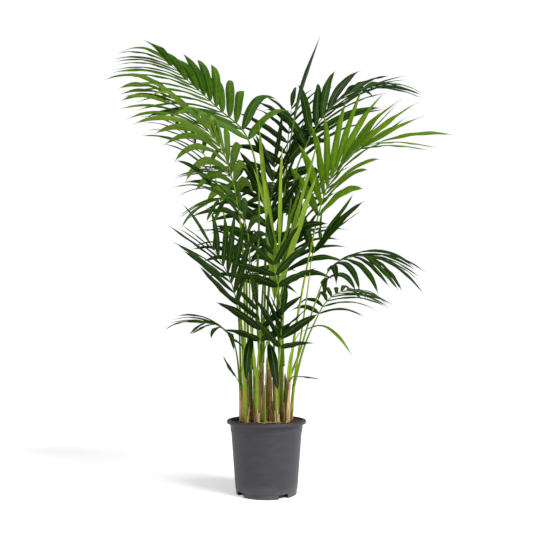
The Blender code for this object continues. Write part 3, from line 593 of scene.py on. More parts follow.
def pot_material():
    """Moulded recycled polypropylene: dark grey, finely grained, dulled by dust towards its foot."""
    material, tree = new_material("moulded_polypropylene")
    coords = add(tree, "TexCoord")
    place = add(tree, "SeparateXYZ", inputs={"Vector": coords.outputs["Object"]})
    # flow marks of the plastic, 30 mm across and stretched round the wall
    stretch = add(tree, "Mapping", inputs={"Vector": coords.outputs["Object"], "Scale": (0.6, 0.6, 1.6)})
    flow = add(tree, "TexNoise", inputs={"Vector": stretch.outputs["Vector"], "Scale": 1 / (30 * MM),
                                         "Detail": 4.0, "Roughness": 0.6})
    # surface grain of 1.2 mm, coarser than the real 0.4 mm so that it shows
    grain = add(tree, "TexNoise", inputs={"Vector": coords.outputs["Object"], "Scale": 1 / (1.2 * MM),
                                          "Detail": 2.0})
    mixed = add(tree, "Math", {"operation": "MULTIPLY_ADD"},
                {0: grain.outputs["Fac"], 1: 0.35, 2: flow.outputs["Fac"]})
    colour = add(tree, "ValToRGB", inputs={"Fac": mixed.outputs["Value"]}, stops=[
        (0.4, "#313036"), (0.65, "#36353b"), (0.95, "#3e3d43")])
    # a film of dust and dried splashes over the lowest 50 mm
    low = add(tree, "MapRange", {"interpolation_type": "SMOOTHSTEP"},
              {"Value": place.outputs["Z"], "From Min": 0.0, "From Max": 50 * MM,
               "To Min": 0.22, "To Max": 0.0})
    dust = add(tree, "Math", {"operation": "MULTIPLY"}, {0: low.outputs["Result"], 1: flow.outputs["Fac"]})
    dusty = add(tree, "MixRGB", inputs={"Fac": dust.outputs["Value"], "Color1": colour.outputs["Color"],
                                        "Color2": linear("#8a857b")})
    bump = add(tree, "Bump", inputs={
        "Height": grain.outputs["Fac"], "Strength": 0.3, "Distance": 0.15 * MM})
    rough = add(tree, "MapRange", inputs={"Value": flow.outputs["Fac"], "To Min": 0.40, "To Max": 0.58})
    shader = add(tree, "BsdfPrincipled", inputs={
        "Base Color": dusty.outputs["Color"], "Roughness": rough.outputs["Result"], "IOR": 1.49,
        "Metallic": 0.0, "Specular IOR Level": 0.35, "Normal": bump.outputs["Normal"]})
    add(tree, "OutputMaterial", inputs={"Surface": shader.outputs["BSDF"]})
    return material


def floor_material():
    """White matte backdrop paper: even, with no shine."""
    material, tree = new_material("matte_white_paper")
    coords = add(tree, "TexCoord")
    fibre = add(tree, "TexNoise", inputs={"Vector": coords.outputs["Object"], "Scale": 1 / (2 * MM)})
    rough = add(tree, "MapRange", inputs={"Value": fibre.outputs["Fac"], "To Min": 0.9, "To Max": 1.0})
    shader = add(tree, "BsdfPrincipled", inputs={
        "Base Color": linear("#fdfdfd"), "Roughness": rough.outputs["Result"], "Specular IOR Level": 0.1,
        "Emission Color": (1.0, 1.0, 1.0, 1.0), "Emission Strength": PAPER_GLOW})
    add(tree, "OutputMaterial", inputs={"Surface": shader.outputs["BSDF"]})
    return material


# ---------------------------------------------------------------- the plan, as in the frame

def smooth_route(points, steps=10):
    """Points along a Catmull-Rom curve through the route's own points."""
    ends = [points[0] * 2 - points[1], *points, points[-1] * 2 - points[-2]]
    curve = []
    for a, b, c, d in zip(ends, ends[1:], ends[2:], ends[3:]):
        for step in range(steps):
            t = step / steps
            curve.append(0.5 * (2 * b + (c - a) * t + (2 * a - 5 * b + 4 * c - d) * t * t
                                + (3 * b - a - 3 * c + d) * t ** 3))
    return curve + [points[-1]]


class Route:
    """A smooth curve that can be read by the distance along it."""

    def __init__(self, points):
        self.curve = smooth_route(points)
        self.marks = [0.0]
        for a, b in zip(self.curve, self.curve[1:]):
            self.marks.append(self.marks[-1] + (b - a).length)
        self.length = self.marks[-1]

    def at(self, distance):
        """The point at a distance along the curve."""
        distance = min(max(distance, 0.0), self.length)
        for index in range(1, len(self.marks)):
            if self.marks[index] >= distance:
                break
        low, high = self.marks[index - 1], self.marks[index]
        share = (distance - low) / (high - low)
        return self.curve[index - 1].lerp(self.curve[index], share)

    def tangent(self, distance):
        """The direction of the curve there."""
        reach = self.length * 0.01
        return (self.at(distance + reach) - self.at(distance - reach)).normalized()


def plant_route(cane, foot, route):
    """A stalk's start, just above its place on the cane's top, and the route that it takes from there."""
    start = (Vector(CANES[cane][1]) + Vector((*foot, 0.0))) * CM + Vector((0, 0, GAP))
    return start, Route([start] + [Vector(point) * CM for point in route])


class Leaflet:
    """One leaflet: a lance-shaped blade whose midrib starts along its heading and droops."""

    def __init__(self, foot, heading, rachis, normal, length, width, droop, roll):
        self.rachis, self.width, self.roll = rachis, width, roll
        self.hand = 1 if heading.cross(rachis).dot(normal) > 0 else -1
        self.spine = [foot]
        self.headings = [heading]
        for step in range(SPINE_STEPS):
            share = (step + 1) / SPINE_STEPS
            turned = (heading - Vector((0, 0, droop * share ** DROOP_POWER))).normalized()
            self.spine.append(self.spine[-1] + turned * (length / SPINE_STEPS))
            self.headings.append(turned)

    def section(self, share):
        """Centre, width direction and face normal at a share of the blade's length."""
        place = min(share * SPINE_STEPS, SPINE_STEPS - 1e-6)
        index = int(place)
        centre = self.spine[index].lerp(self.spine[index + 1], place - index)
        heading = self.headings[index].lerp(self.headings[index + 1], place - index).normalized()
        across = (self.rachis - heading * self.rachis.dot(heading)).normalized()
        across = Matrix.Rotation(self.roll * min(1.0, share * 3), 3, heading) @ across
        return centre, across, heading.cross(across) * self.hand

    def blade_width(self, share):
        """Full width at a share of the length: quickly wide, then a long taper to the tip."""
        if share >= 1:
            return TIP_WIDTH
        outline = share ** BLADE_RISE * (1 - share) ** BLADE_TAPER
        return max(self.width * BLADE_FULLNESS * outline, TIP_WIDTH)

    def corners(self, share, grow=0.0):
        """The four corners of a section, as (rachis side, face side) signs and points."""
        centre, across, face = self.section(share)
        half = self.blade_width(share) / 2 + grow
        thick = (LEAFLET_THICKNESS if share < 1 else TIP_THICKNESS) / 2 + grow
        return {(a, b): centre + across * (a * half) + face * (b * thick)
                for a in (-1, 1) for b in (-1, 1)}

    def guard(self):
        """A slightly fatter blade, both faceted and smooth, to tell whether it would touch something."""
        points = []
        faces = []
        for shares in ((GUARD_STATIONS[0], *LEAFLET_STATIONS), GUARD_STATIONS):
            first = len(points)
            for share in shares:
                corner = self.corners(share, CLEARANCE)
                points += [corner[sign] for sign in ((-1, -1), (1, -1), (1, 1), (-1, 1))]
            faces += chain_faces(first, len(points))
        return Guard(points, faces)


def chain_faces(first, last):
    """The triangles round a chain of four-cornered rings; opposite sides are split along one diagonal."""
    faces = []
    for ring in range(first, last - 4, 4):
        for k in range(4):
            a, b = ring + k, ring + (k + 1) % 4
            faces += [(a, b, b + 4), (a, b + 4, a + 4)] if k < 2 else [(a, b, a + 4), (b, b + 4, a + 4)]
    return faces


class Guard:
    """A shape to keep clear of, with its box for a quick first test."""

    def __init__(self, points, faces):
        self.tree = BVHTree.FromPolygons(points, faces)
        self.low = [min(point[k] for point in points) for k in range(3)]
        self.high = [max(point[k] for point in points) for k in range(3)]

    def touches(self, other):
        apart = any(self.low[k] > other.high[k] or other.low[k] > self.high[k] for k in range(3))
        return not apart and bool(self.tree.overlap(other.tree))


class Frond:
    """The plan of one frond: its stalk's rings and its leaflets."""

    def __init__(self, row):
        (self.name, cane, foot, route, self.leafy, self.pairs, self.longest, self.width,
         self.spread, self.droop, self.lift, self.roll) = row
        start, self.route = plant_route(cane, foot, route)
        self.random = random.Random(self.name)
        self.leafy_start = self.leafy * self.route.length
        crown = self.route.at(self.leafy_start)
        reach = self.route.at(self.route.length) - crown
        if math.hypot(reach.x, reach.y) < 0.3 * reach.length:
            reach = self.route.at(self.route.length) - start
        self.side = Vector((0, 0, 1)).cross(reach).normalized()
        self.leaflets = {}

    def frame(self, distance):
        """Tangent, side and normal of the stalk at a distance along it."""
        tangent = self.route.tangent(distance)
        side = (self.side - tangent * self.side.dot(tangent)).normalized()
        side = Matrix.Rotation(math.radians(self.roll), 3, tangent) @ side
        return tangent, side, tangent.cross(side)

    def radius(self, distance):
        """Half the stalk's thickness; short stalks are slimmer."""
        share = distance / self.route.length
        stout = min(1.0, self.route.length / STOUT_LENGTH)
        return (FOOT_STALK + (TIP_STALK - FOOT_STALK) * share ** 0.8) * stout

    def pair_marks(self):
        """The distances of the leaflet pairs and the length of rachis that each one holds."""
        marks = []
        room = self.route.length - END_BARE - self.leafy_start
        for index in range(self.pairs):
            share = (index / max(self.pairs - 1, 1)) ** 0.9
            marks.append((self.leafy_start + room * share, LEAFLET_FOOT * (1 - 0.4 * share), share))
        return marks

    def ring_marks(self):
        """Distances of the stalk's rings; each pair of leaflets sits between two of them."""
        marks = [0.0]
        while marks[-1] + 1.6 * RING_SPACING < self.leafy_start:
            marks.append(marks[-1] + RING_SPACING)
        pair_rings = []
        for distance, foot, _ in self.pair_marks():
            pair_rings.append(len(marks))
            marks += [distance - foot / 2, distance + foot / 2]
        return marks + [self.route.length], pair_rings

    def ring(self, distance):
        """The stalk's four corners; the first ring lies flat on the cane."""
        centre = self.route.at(distance)
        _, side, normal = self.frame(distance)
        if distance == 0.0:
            normal = Vector((0, 0, 1)).cross(side).normalized()
            side = Vector((side.x, side.y, 0)).normalized()
        radius = self.radius(distance)
        return [centre + (side * a + normal * b) * radius for a, b in RING_CORNERS]

    def stalk_guard(self):
        rings = [self.ring(mark) for mark in self.ring_marks()[0]]
        points = [point for ring in rings for point in ring]
        return Guard(points, chain_faces(0, len(points)))

    def make_leaflet(self, mark, sign, nudge):
        """The leaflet on one side of the rachis: wide open low down, closer to the rachis near its tip."""
        distance, _, share = mark
        turn, sag, twist, shrink = nudge
        tangent, side, normal = self.frame(distance)
        tip_angle = min(TIP_ANGLE, self.spread / 2)
        opening = self.spread + (tip_angle - self.spread) * share ** 1.1 + turn
        angle = math.radians(max(opening, LEAST_ANGLE))
        lift = math.radians(self.lift * (1 - 0.5 * share))
        outward = side * (sign * math.cos(lift)) + normal * math.sin(lift)
        heading = (tangent * math.cos(angle) + outward * math.sin(angle)).normalized()
        foot = self.route.at(distance) + side * (sign * self.radius(distance))
        length = self.longest * CM * (1 - 1.1 * (share - 0.4) ** 2) * shrink
        return Leaflet(foot, heading, tangent, normal, length, self.width * CM * (1 - 0.35 * share),
                       self.droop * (1.15 - 0.4 * share) + sag,
                       math.radians(twist + LOUVRE * (0.4 + 0.6 * share)) * sign)

    def end_leaflet(self, nudge):
        """The leaflet that carries on from the tip of the rachis."""
        turn, sag, twist, shrink = nudge
        tangent, side, normal = self.frame(self.route.length)
        heading = Matrix.Rotation(math.radians(turn), 3, normal) @ tangent
        length = self.longest * CM * (END_LENGTH if self.pairs else 1.0) * shrink
        width = self.width * CM * (END_WIDTH if self.pairs else 1.0)
        return Leaflet(self.route.at(self.route.length), heading, side, normal, length, width,
                       self.droop + sag, math.radians(twist))

    def place_leaflet(self, key, make, own, guards):
        """Keep the first of the nudged leaflets that touches nothing, if there is one."""
        for nudge in NUDGES:
            leaflet = make(tuple(a * b if k == 3 else a + b for k, (a, b) in enumerate(zip(own, nudge))))
            guard = leaflet.guard()
            if not any(guard.touches(other) for name, other in guards if name != self.name):
                self.leaflets[key] = leaflet
                guards.append((self.name + "_leaflet", guard))
                return

    def plan_leaflets(self, guards):
        """Place each leaflet, nudged, shortened or left out where it would touch something."""
        self.place_leaflet("end", self.end_leaflet, (0, 0, 0, 1), guards)
        for index, mark in enumerate(self.pair_marks()):
            wild = 1 - 0.7 * mark[2]
            for sign in (-1, 1):
                own = (wild * self.random.uniform(-8, 8), wild * self.random.uniform(-0.2, 0.2),
                       wild * self.random.uniform(-16, 16), self.random.uniform(0.88, 1.08))
                self.place_leaflet((index, sign), lambda nudge: self.make_leaflet(mark, sign, nudge),
                                   own, guards)


def node_guard(name):
    """A solid of the frame, as a shape to keep clear of."""
    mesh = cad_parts[name].data
    return Guard([vert.co.copy() for vert in mesh.vertices],
                 [list(face.vertices) for face in mesh.polygons])


def plan_fronds():
    """All the fronds, with leaflets that touch neither a solid, another frond's stalk nor a leaflet."""
    fronds = [Frond(row) for row in FRONDS]
    solids = ["pot", *CANES, *SHOOT, *(row[0] for row in SPEARS)]
    guards = [(name, node_guard(name)) for name in solids]
    guards += [(frond.name, frond.stalk_guard()) for frond in fronds]
    for frond in fronds:
        frond.plan_leaflets(guards)
    return fronds


# ---------------------------------------------------------------- pieces

def finish_piece(name, bm, materials, node, smooth=True, sharp=None):
    """Make the mesh an object that rides on the root, stands for its node and takes its finish."""
    mesh = bpy.data.meshes.new(name)
    bm.to_mesh(mesh)
    bm.free()
    if smooth:
        mesh.shade_smooth()
    if sharp:
        mesh.set_sharp_from_angle(angle=math.radians(sharp))
    for material in materials:
        mesh.materials.append(material)
    piece = bpy.data.objects.new(name, mesh)
    bpy.context.scene.collection.objects.link(piece)
    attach(piece, "root")
    if node:
        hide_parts(node)
    return piece


def tube_into(bm, rings, layers=(), values=()):
    """Run a closed tube through rings of points; each layer takes its value at each ring."""
    cap = bm.faces.new([bm.verts.new(point) for point in rings[0]])
    first = list(cap.verts)
    made = [first]
    for ring in rings[1:]:
        cap = bmesh.ops.extrude_discrete_faces(bm, faces=[cap])["faces"][0]
        for vert, point in zip(cap.verts, ring):
            vert.co = point
        made.append(list(cap.verts))
    bm.faces.new(reversed(first))
    for layer, shares in zip(layers, values):
        for verts, share in zip(made, shares):
            for vert in verts:
                vert[layer] = share
    return made


def stalk_radius(frond, distance):
    """A sheath-like foot on the cane, then an even taper to the tip of the rachis."""
    share = distance / frond.route.length
    stout = 0.45 + 0.55 * min(1.0, frond.route.length / STOUT_LENGTH)
    body = STALK_BODY * max(0.0, 1 - share) ** 0.75 + STALK_TIP
    return (body + SHEATH_SWELL * math.exp(-distance / SHEATH_REACH)) * stout


def build_stalk(frond, material):
    """A petiole and rachis with a groove along its upper side."""
    bm = bmesh.new()
    tone = bm.verts.layers.float.new("tone")
    steps = max(6, round(frond.route.length / STALK_STEP))
    rings, tones = [], []
    base = TONES[frond.name][1]
    for step in range(steps + 1):
        distance = frond.route.length * step / steps
        _, side, normal = frond.frame(distance)
        centre = frond.route.at(distance)
        radius = stalk_radius(frond, distance)
        deep = GROOVE * min(1.0, distance / 0.15)
        ring = []
        for corner in range(STALK_SIDES):
            turn = math.tau * corner / STALK_SIDES
            from_top = turn - math.pi / 2
            from_top = math.atan2(math.sin(from_top), math.cos(from_top))
            grooved = radius * (1 - deep * math.exp(-(from_top / GROOVE_SPREAD) ** 2))
            ring.append(centre + side * (grooved * math.cos(turn)) + normal * (grooved * math.sin(turn)))
        rings.append(ring)
        leafy = max(0.0, (distance - frond.leafy_start) / max(frond.route.length - frond.leafy_start, 0.01))
        tones.append(base + 0.10 * math.exp(-distance / 0.12) - 0.22 * leafy)
    tube_into(bm, rings, [tone], [tones])
    bmesh.ops.recalc_face_normals(bm, faces=bm.faces)
    return finish_piece(frond.name + "_stalk", bm, [material], frond.name)


def blade_half_width(leaflet, share):
    """Half the blade's width: a narrow root, the frame's own outline, and a fine point."""
    root = BLADE_ROOT * max(0.0, 1 - share * 8)
    body = leaflet.blade_width(share) * BLADE_BREADTH / 2 if share < 1 else 0.0
    near_tip = min(1.0, (1 - share) * 9)
    return max(root, body * near_tip, FINE_TIP / 2)


def build_blade(bm, tone_layer, leaflet, tone, inset, dice):
    """One pleated, keeled blade, bent from a flat grid to lie along its leaflet's midrib."""
    sway = dice.uniform(-0.010, 0.010)
    curl = dice.uniform(-0.5, 0.5)
    waves = dice.uniform(2.0, 3.5)
    phase = dice.uniform(0, math.tau)
    ripple = dice.uniform(0.0006, 0.0018)
    lift = dice.uniform(0.9, 1.25)
    verts = bmesh.ops.create_grid(bm, x_segments=BLADE_STEPS, y_segments=BLADE_COLUMNS, size=0.5,
                                  calc_uvs=True)["verts"]
    columns = {}
    for vert in verts:
        columns.setdefault(round((vert.co.x + 0.5) * BLADE_STEPS), []).append(vert)
    for step, column in columns.items():
        share = step / BLADE_STEPS
        centre, across, face = leaflet.section(share)
        if share == 0:
            centre = centre - inset
        spin = curl * max(0.0, share - 0.35)
        across, face = (across * math.cos(spin) + face * math.sin(spin),
                        face * math.cos(spin) - across * math.sin(spin))
        half = blade_half_width(leaflet, share)
        centre = centre + across * (sway * math.sin(math.pi * share) * share)
        for vert in column:
            out = vert.co.y * 2
            spread = out * leaflet.hand
            keel = -abs(out) * half * math.tan(BLADE_KEEL) * lift
            pleat = PLEAT_DEPTH * math.cos(math.pi * PLEATS * out) * min(1.0, half / 0.012)
            wave = ripple * out * out * math.sin(waves * math.tau * share + phase + out)
            wave *= min(1.0, half / 0.01)
            vert.co = centre + across * (spread * half) + face * (keel + pleat + wave)
            vert[tone_layer] = tone + 0.05 * (share - 0.5) - 0.03 * abs(out)


def build_leaflets(frond, materials):
    """All the leaflets of a frond, as one piece of thin blades with a matte underside."""
    bm = bmesh.new()
    bm.loops.layers.uv.new("UVMap")
    tone_layer = bm.verts.layers.float.new("tone")
    base = TONES[frond.name][0]
    for key, leaflet in frond.leaflets.items():
        dice = random.Random(f"{frond.name} {key}")
        tone = base + dice.uniform(-0.07, 0.07)
        inset = Vector()
        if key != "end" and frond.pairs:
            distance = frond.pair_marks()[key[0]][0]
            inset = leaflet.spine[0] - frond.route.at(distance)
        build_blade(bm, tone_layer, leaflet, tone, inset, dice)
    piece = finish_piece(frond.name + "_leaflets", bm, materials, frond.name)
    skin = piece.modifiers.new("blade_thickness", "SOLIDIFY")
    skin.thickness = BLADE_THICKNESS
    skin.offset = -1
    skin.material_offset = 1
    return piece


def cane_axis(name):
    """A cane's foot and top, with its radius at each."""
    foot, top, foot_radius, top_radius = {**CANES, **SHOOT}[name]
    start = Vector((foot[0] * CM, foot[1] * CM, SOIL_HEIGHT - PLANTING_DEPTH))
    return start, Vector(top) * CM, foot_radius * CM, top_radius * CM


def foot_swell(above):
    """How much a cane and its sheaths stand out where they leave the soil."""
    return ROOT_SWELL * math.exp(-max(above, 0.0) / ROOT_REACH)


def uneven_ring(centre, radius, sides, unevenness, seed):
    """A level ring of points, a little out of round."""
    ring = []
    for side in range(sides):
        turn = math.tau * side / sides
        outward = Vector((math.cos(turn), math.sin(turn), 0))
        bulge = 1 + unevenness * noise.noise(outward + Vector((0, 0, seed)))
        ring.append(centre + outward * (radius * bulge))
    return ring


def cane_radius(name, height, foot_radius, top_radius, foot_z, top_z):
    """Radius up a cane: flared at the soil, swollen at each leaf scar and slightly uneven."""
    share = (height - foot_z) / (top_z - foot_z)
    radius = foot_radius + (top_radius - foot_radius) * share
    radius += foot_swell(height - SOIL_HEIGHT)
    scar = scar_strength(name, height)
    wobble = noise.noise(Vector((len(name) * 3.1, height * 60, share)))
    return radius * (1 + 0.05 * scar + 0.05 * wobble)


def scar_strength(name, height):
    """1 on a leaf scar, falling to 0 within 3 mm; the scars lie unevenly and closer near the foot."""
    shift = (sum(map(ord, name)) % 17) / 17
    place = ((height - SOIL_HEIGHT) / SCAR_SPACING) ** 0.9 + shift if height > SOIL_HEIGHT else 0.5
    apart = abs(place - round(place)) * SCAR_SPACING
    return math.exp(-(apart / SCAR_HALF) ** 2)


def build_cane(name, material):
    """A ringed cane that closes to a blunt, sheathed crown where its leaf stalks come out."""
    bm = bmesh.new()
    layers = [bm.verts.layers.float.new(layer) for layer in ("tone", "dry", "scar")]
    start, end, foot_radius, top_radius = cane_axis(name)
    dry, tone = CANE_LOOKS[name]
    outlines, values = [], []
    steps = round((end.z - start.z) / CANE_STEP)
    for step in range(steps + 1):
        centre = start.lerp(end, step / steps)
        radius = cane_radius(name, centre.z, foot_radius, top_radius, start.z, end.z)
        above = (centre.z - SOIL_HEIGHT) / (end.z - SOIL_HEIGHT)
        outlines.append(uneven_ring(centre, radius, CANE_SIDES, 0.05, centre.z * 25 + len(name)))
        values.append((tone, dry + 0.45 * math.exp(-max(above, 0) / 0.22) - 0.12 * above,
                       0.35 * scar_strength(name, centre.z)))
    for rise, share in CROWN_RINGS:
        centre = end + Vector((0, 0, rise))
        outlines.append(uneven_ring(centre, top_radius * share, CANE_SIDES, 0.05, centre.z * 25 + len(name)))
        values.append((tone, dry, 0.0))
    tube_into(bm, outlines, layers, zip(*values))
    bmesh.ops.recalc_face_normals(bm, faces=bm.faces)
    return finish_piece(name + "_skin", bm, [material], name)


def build_husk(name, material):
    """Dry sheath strips that cling to a cane's foot, each torn to a ragged point that leans away."""
    count, tallest, palest = HUSKS[name]
    dice = random.Random("husk " + name)
    start, end, foot_radius, top_radius = cane_axis(name)
    bm = bmesh.new()
    tone_layer = bm.verts.layers.float.new("tone")
    for number in range(count):
        height = tallest * CM * (dice.uniform(0.25, 0.85) if number else 1.0)
        middle = dice.uniform(0, math.pi) if number % 3 == 2 else dice.uniform(-math.pi, 0)
        arc = math.radians(dice.uniform(24, 62))
        flare = dice.uniform(0.3, 3.0) ** 2 * MM
        tone = palest - dice.uniform(0.0, 0.45)
        rows = max(6, round(height / HUSK_STEP))
        strip = bmesh.ops.create_grid(bm, x_segments=HUSK_COLUMNS, y_segments=rows, size=0.5)["verts"]
        for vert in strip:
            across, up = vert.co.x, vert.co.y + 0.5
            rise = up * (1 - 0.5 * abs(noise.noise(Vector((across * 7, number * 3.7, foot_radius * 900)))))
            lift = height * rise
            z = SOIL_HEIGHT - 0.002 + lift
            along = (z - start.z) / (end.z - start.z)
            radius = foot_radius + (top_radius - foot_radius) * along + (1.0 + 0.15 * number) * MM
            radius += foot_swell(lift) + flare * rise ** 3
            sway = 0.15 * noise.noise(Vector((number, z * 30, 3)))
            turn = middle + across * arc * (1 - 0.75 * rise ** 2) + sway
            vert.co = start.lerp(end, along) + Vector((math.cos(turn), math.sin(turn), 0)) * radius
            vert[tone_layer] = tone + 0.25 * noise.noise(Vector((across * 6, number, z * 12)))
    piece = finish_piece(f"dry_sheaths_on_{name}", bm, [material], name)
    skin = piece.modifiers.new("husk_thickness", "SOLIDIFY")
    skin.thickness = HUSK_THICKNESS
    skin.offset = 1
    return piece


def build_stubs(material):
    """What is left of old leaves: thin stubs that stand between the canes, mostly dry."""
    bm = bmesh.new()
    layers = [bm.verts.layers.float.new(layer) for layer in ("tone", "dry", "scar")]
    for number, (foot, top, thick, dry) in enumerate(STUBS):
        start = Vector((foot[0] * CM, foot[1] * CM, SOIL_HEIGHT - STUB_DEPTH))
        end = Vector(top) * CM
        rings = []
        for step in range(STUB_STEPS + 1):
            share = step / STUB_STEPS
            centre = start.lerp(end, share)
            girth = thick * MM * (1.25 - 0.5 * share) * (0.3 if step == STUB_STEPS else 1.0)
            rings.append(uneven_ring(centre, girth, STALK_SIDES, 0.25, centre.z * 20 + number))
        shares = [step / STUB_STEPS for step in range(STUB_STEPS + 1)]
        tube_into(bm, rings, layers, [[0.35 + 0.3 * (1 - dry)] * len(rings),
                                      [dry + 0.25 * (1 - share) for share in shares], [0.0] * len(rings)])
    bmesh.ops.recalc_face_normals(bm, faces=bm.faces)
    return finish_piece("old_leaf_stubs", bm, [material], None)


def build_spear(row, material):
    """An unopened leaf: a stalk that swells into a tall blade still folded along its keel."""
    name, cane, foot, route, thickest = row
    _, path = plant_route(cane, foot, route)
    bm = bmesh.new()
    tone_layer = bm.verts.layers.float.new("tone")
    rings, tones = [], []
    for step in range(SPEAR_STEPS + 1):
        share = step / SPEAR_STEPS
        tangent = path.tangent(share * path.length)
        side = Vector((0, 1, 0)).cross(tangent).normalized()
        face = tangent.cross(side)
        stalk = SPEAR_STALK * (1 - share) ** 0.6
        stalk += SHEATH_SWELL * math.exp(-share * path.length / SHEATH_REACH)
        swell = max(0.0, min(1.0, (share - SPEAR_BLADE_START) / SPEAR_BLADE_RISE))
        swell = swell * swell * (3 - 2 * swell)
        taper = max(0.05, min(1.0, (1 - share) / SPEAR_TIP))
        wide = (stalk * (1 - swell) + thickest * CM * swell) * taper
        thin = wide * (1 - 0.62 * swell)
        ring = []
        for corner in range(STALK_SIDES):
            turn = math.tau * corner / STALK_SIDES
            fold = 0.35 * swell * thin * math.cos(3 * turn)
            ring.append(path.at(share * path.length) + side * (wide * math.cos(turn))
                        + face * (thin * math.sin(turn) + fold))
        rings.append(ring)
        tones.append(0.55 - 0.50 * swell)
    tube_into(bm, rings, [tone_layer], [tones])
    bmesh.ops.recalc_face_normals(bm, faces=bm.faces)
    return finish_piece(name + "_skin", bm, [material], name)


# ---------------------------------------------------------------- pot and soil

def wall_radius(height):
    """Outer radius of the pot's wall, which narrows a little below its step."""
    top = RIM_RADIUS - LIP_OVERHANG
    share = height / POT_HEIGHT
    radius = (FOOT_RADIUS + FOOT_INSET) + (top - FOOT_RADIUS - FOOT_INSET) * share
    return radius - (STEP_DEPTH if height < STEP_HEIGHT else 0.0)


def turned(outline, segments):
    """Spin an outline of (radius, height) points that starts and ends on the axis."""
    bm = bmesh.new()
    verts = [bm.verts.new((radius, 0.0, height)) for radius, height in outline]
    edges = [bm.edges.new(pair) for pair in zip(verts, verts[1:])]
    bmesh.ops.spin(bm, geom=verts + edges, cent=(0, 0, 0), axis=(0, 0, 1), angle=math.tau,
                   steps=segments, use_merge=True)
    bmesh.ops.remove_doubles(bm, verts=bm.verts, dist=1e-6)
    bmesh.ops.recalc_face_normals(bm, faces=bm.faces)
    return bm


def arc(centre, radius, start, end, steps):
    """Points of a round corner in the outline, from one angle in degrees to another."""
    turns = [math.radians(start + (end - start) * step / steps) for step in range(steps + 1)]
    return [(centre[0] + radius * math.cos(turn), centre[1] + radius * math.sin(turn)) for turn in turns]


def build_pot(material):
    """The pot: a thin tapered wall with a rolled lip, a step under it, an inset foot and four slots."""
    lip_foot = POT_HEIGHT - LIP_HEIGHT
    step_top = STEP_HEIGHT + STEP_DEPTH
    outline = [(0.0, 0.0)]
    outline += arc((FOOT_RADIUS - FOOT_ROUND, FOOT_ROUND), FOOT_ROUND, -90, 0, 4)
    outline += [(FOOT_RADIUS, FOOT_HEIGHT - FOOT_INSET), (wall_radius(FOOT_HEIGHT), FOOT_HEIGHT)]
    outline += [(wall_radius(height), height) for height in (0.05, 0.09, 0.13, STEP_HEIGHT - EDGE_DROP)]
    outline += [(wall_radius(STEP_HEIGHT) + STEP_DEPTH / 2, step_top),
                (wall_radius(lip_foot), lip_foot - EDGE_DROP)]
    outline += arc((RIM_RADIUS - LIP_ROUND, lip_foot + LIP_ROUND), LIP_ROUND, -90, 0, 4)
    outline += arc((RIM_RADIUS - RIM_ROLL, POT_HEIGHT - RIM_ROLL), RIM_ROLL, 0, 90, 7)
    outline += arc((wall_radius(POT_HEIGHT) - WALL + INNER_ROUND, POT_HEIGHT - INNER_ROUND), INNER_ROUND,
                   90, 180, 3)
    outline += [(wall_radius(FOOT_HEIGHT) - WALL, FOOT_HEIGHT),
                (FOOT_RADIUS - WALL, FOOT_HEIGHT - FOOT_INSET), (FOOT_RADIUS - WALL, WALL), (0.0, WALL)]
    shell = turned(outline, POT_SEGMENTS)
    pot = finish_piece("pot_moulding", shell, [material], "pot", sharp=32)
    slots = bmesh.new()
    size = Matrix.Diagonal((SLOT_DEPTH * 2, SLOT_WIDTH, SLOT_HEIGHT * 2, 1.0))
    for quarter in range(4):
        turn = Matrix.Rotation(SLOT_TURN + quarter * math.pi / 2, 4, "Z")
        place = turn @ Matrix.Translation((FOOT_RADIUS, 0, 0))
        bmesh.ops.create_cube(slots, size=1.0, matrix=place @ size)
    rounded = [edge for edge in slots.edges if edge.calc_length() > SLOT_DEPTH * 1.9
               and max(vert.co.z for vert in edge.verts) > SLOT_HEIGHT * 0.9]
    bmesh.ops.bevel(slots, geom=rounded, offset=SLOT_ROUND, affect="EDGES", segments=3, profile=0.5,
                    material=-1)
    carve(pot, slots)
    return pot


def carve(piece, cutter_bm):
    """Cut a shape out of a piece for good, and clear the cutter away."""
    mesh = bpy.data.meshes.new("cutter")
    cutter_bm.to_mesh(mesh)
    cutter_bm.free()
    cutter = bpy.data.objects.new("cutter", mesh)
    bpy.context.scene.collection.objects.link(cutter)
    modifier = piece.modifiers.new("carve", "BOOLEAN")
    modifier.object = cutter
    modifier.operation = "DIFFERENCE"
    depsgraph = bpy.context.evaluated_depsgraph_get()
    carved = bpy.data.meshes.new_from_object(piece.evaluated_get(depsgraph))
    piece.modifiers.remove(modifier)
    carved.name = piece.data.name + "_carved"
    piece.data = carved
    bpy.data.objects.remove(cutter, do_unlink=True)


def soil_surface(x, y):
    """Height of the soil: lumps of two sizes, a low heap at the right and fine crumbs over all."""
    lumps = noise.noise(Vector((x, y, 0.4)) * LUMPS_PER_METRE)
    lumps += 0.5 * noise.noise(Vector((x, y, 1.7)) * (2 * LUMPS_PER_METRE))
    crumbs = noise.noise(Vector((x, y, 2.3)) * CRUMBS_PER_METRE)
    crumbs += 0.5 * noise.noise(Vector((x, y, 3.1)) * (2 * CRUMBS_PER_METRE))
    away = (x - HEAP_PLACE[0]) ** 2 + (y - HEAP_PLACE[1]) ** 2
    heap = HEAP_HEIGHT * math.exp(-away / HEAP_SPREAD)
    return SOIL_HEIGHT + LOOSE_SOIL + SOIL_LUMP * lumps + heap + CRUMB_RISE * crumbs


def soil_edge(height):
    """Radius to which the soil fills the pot at a height."""
    return wall_radius(height) - WALL - GAP


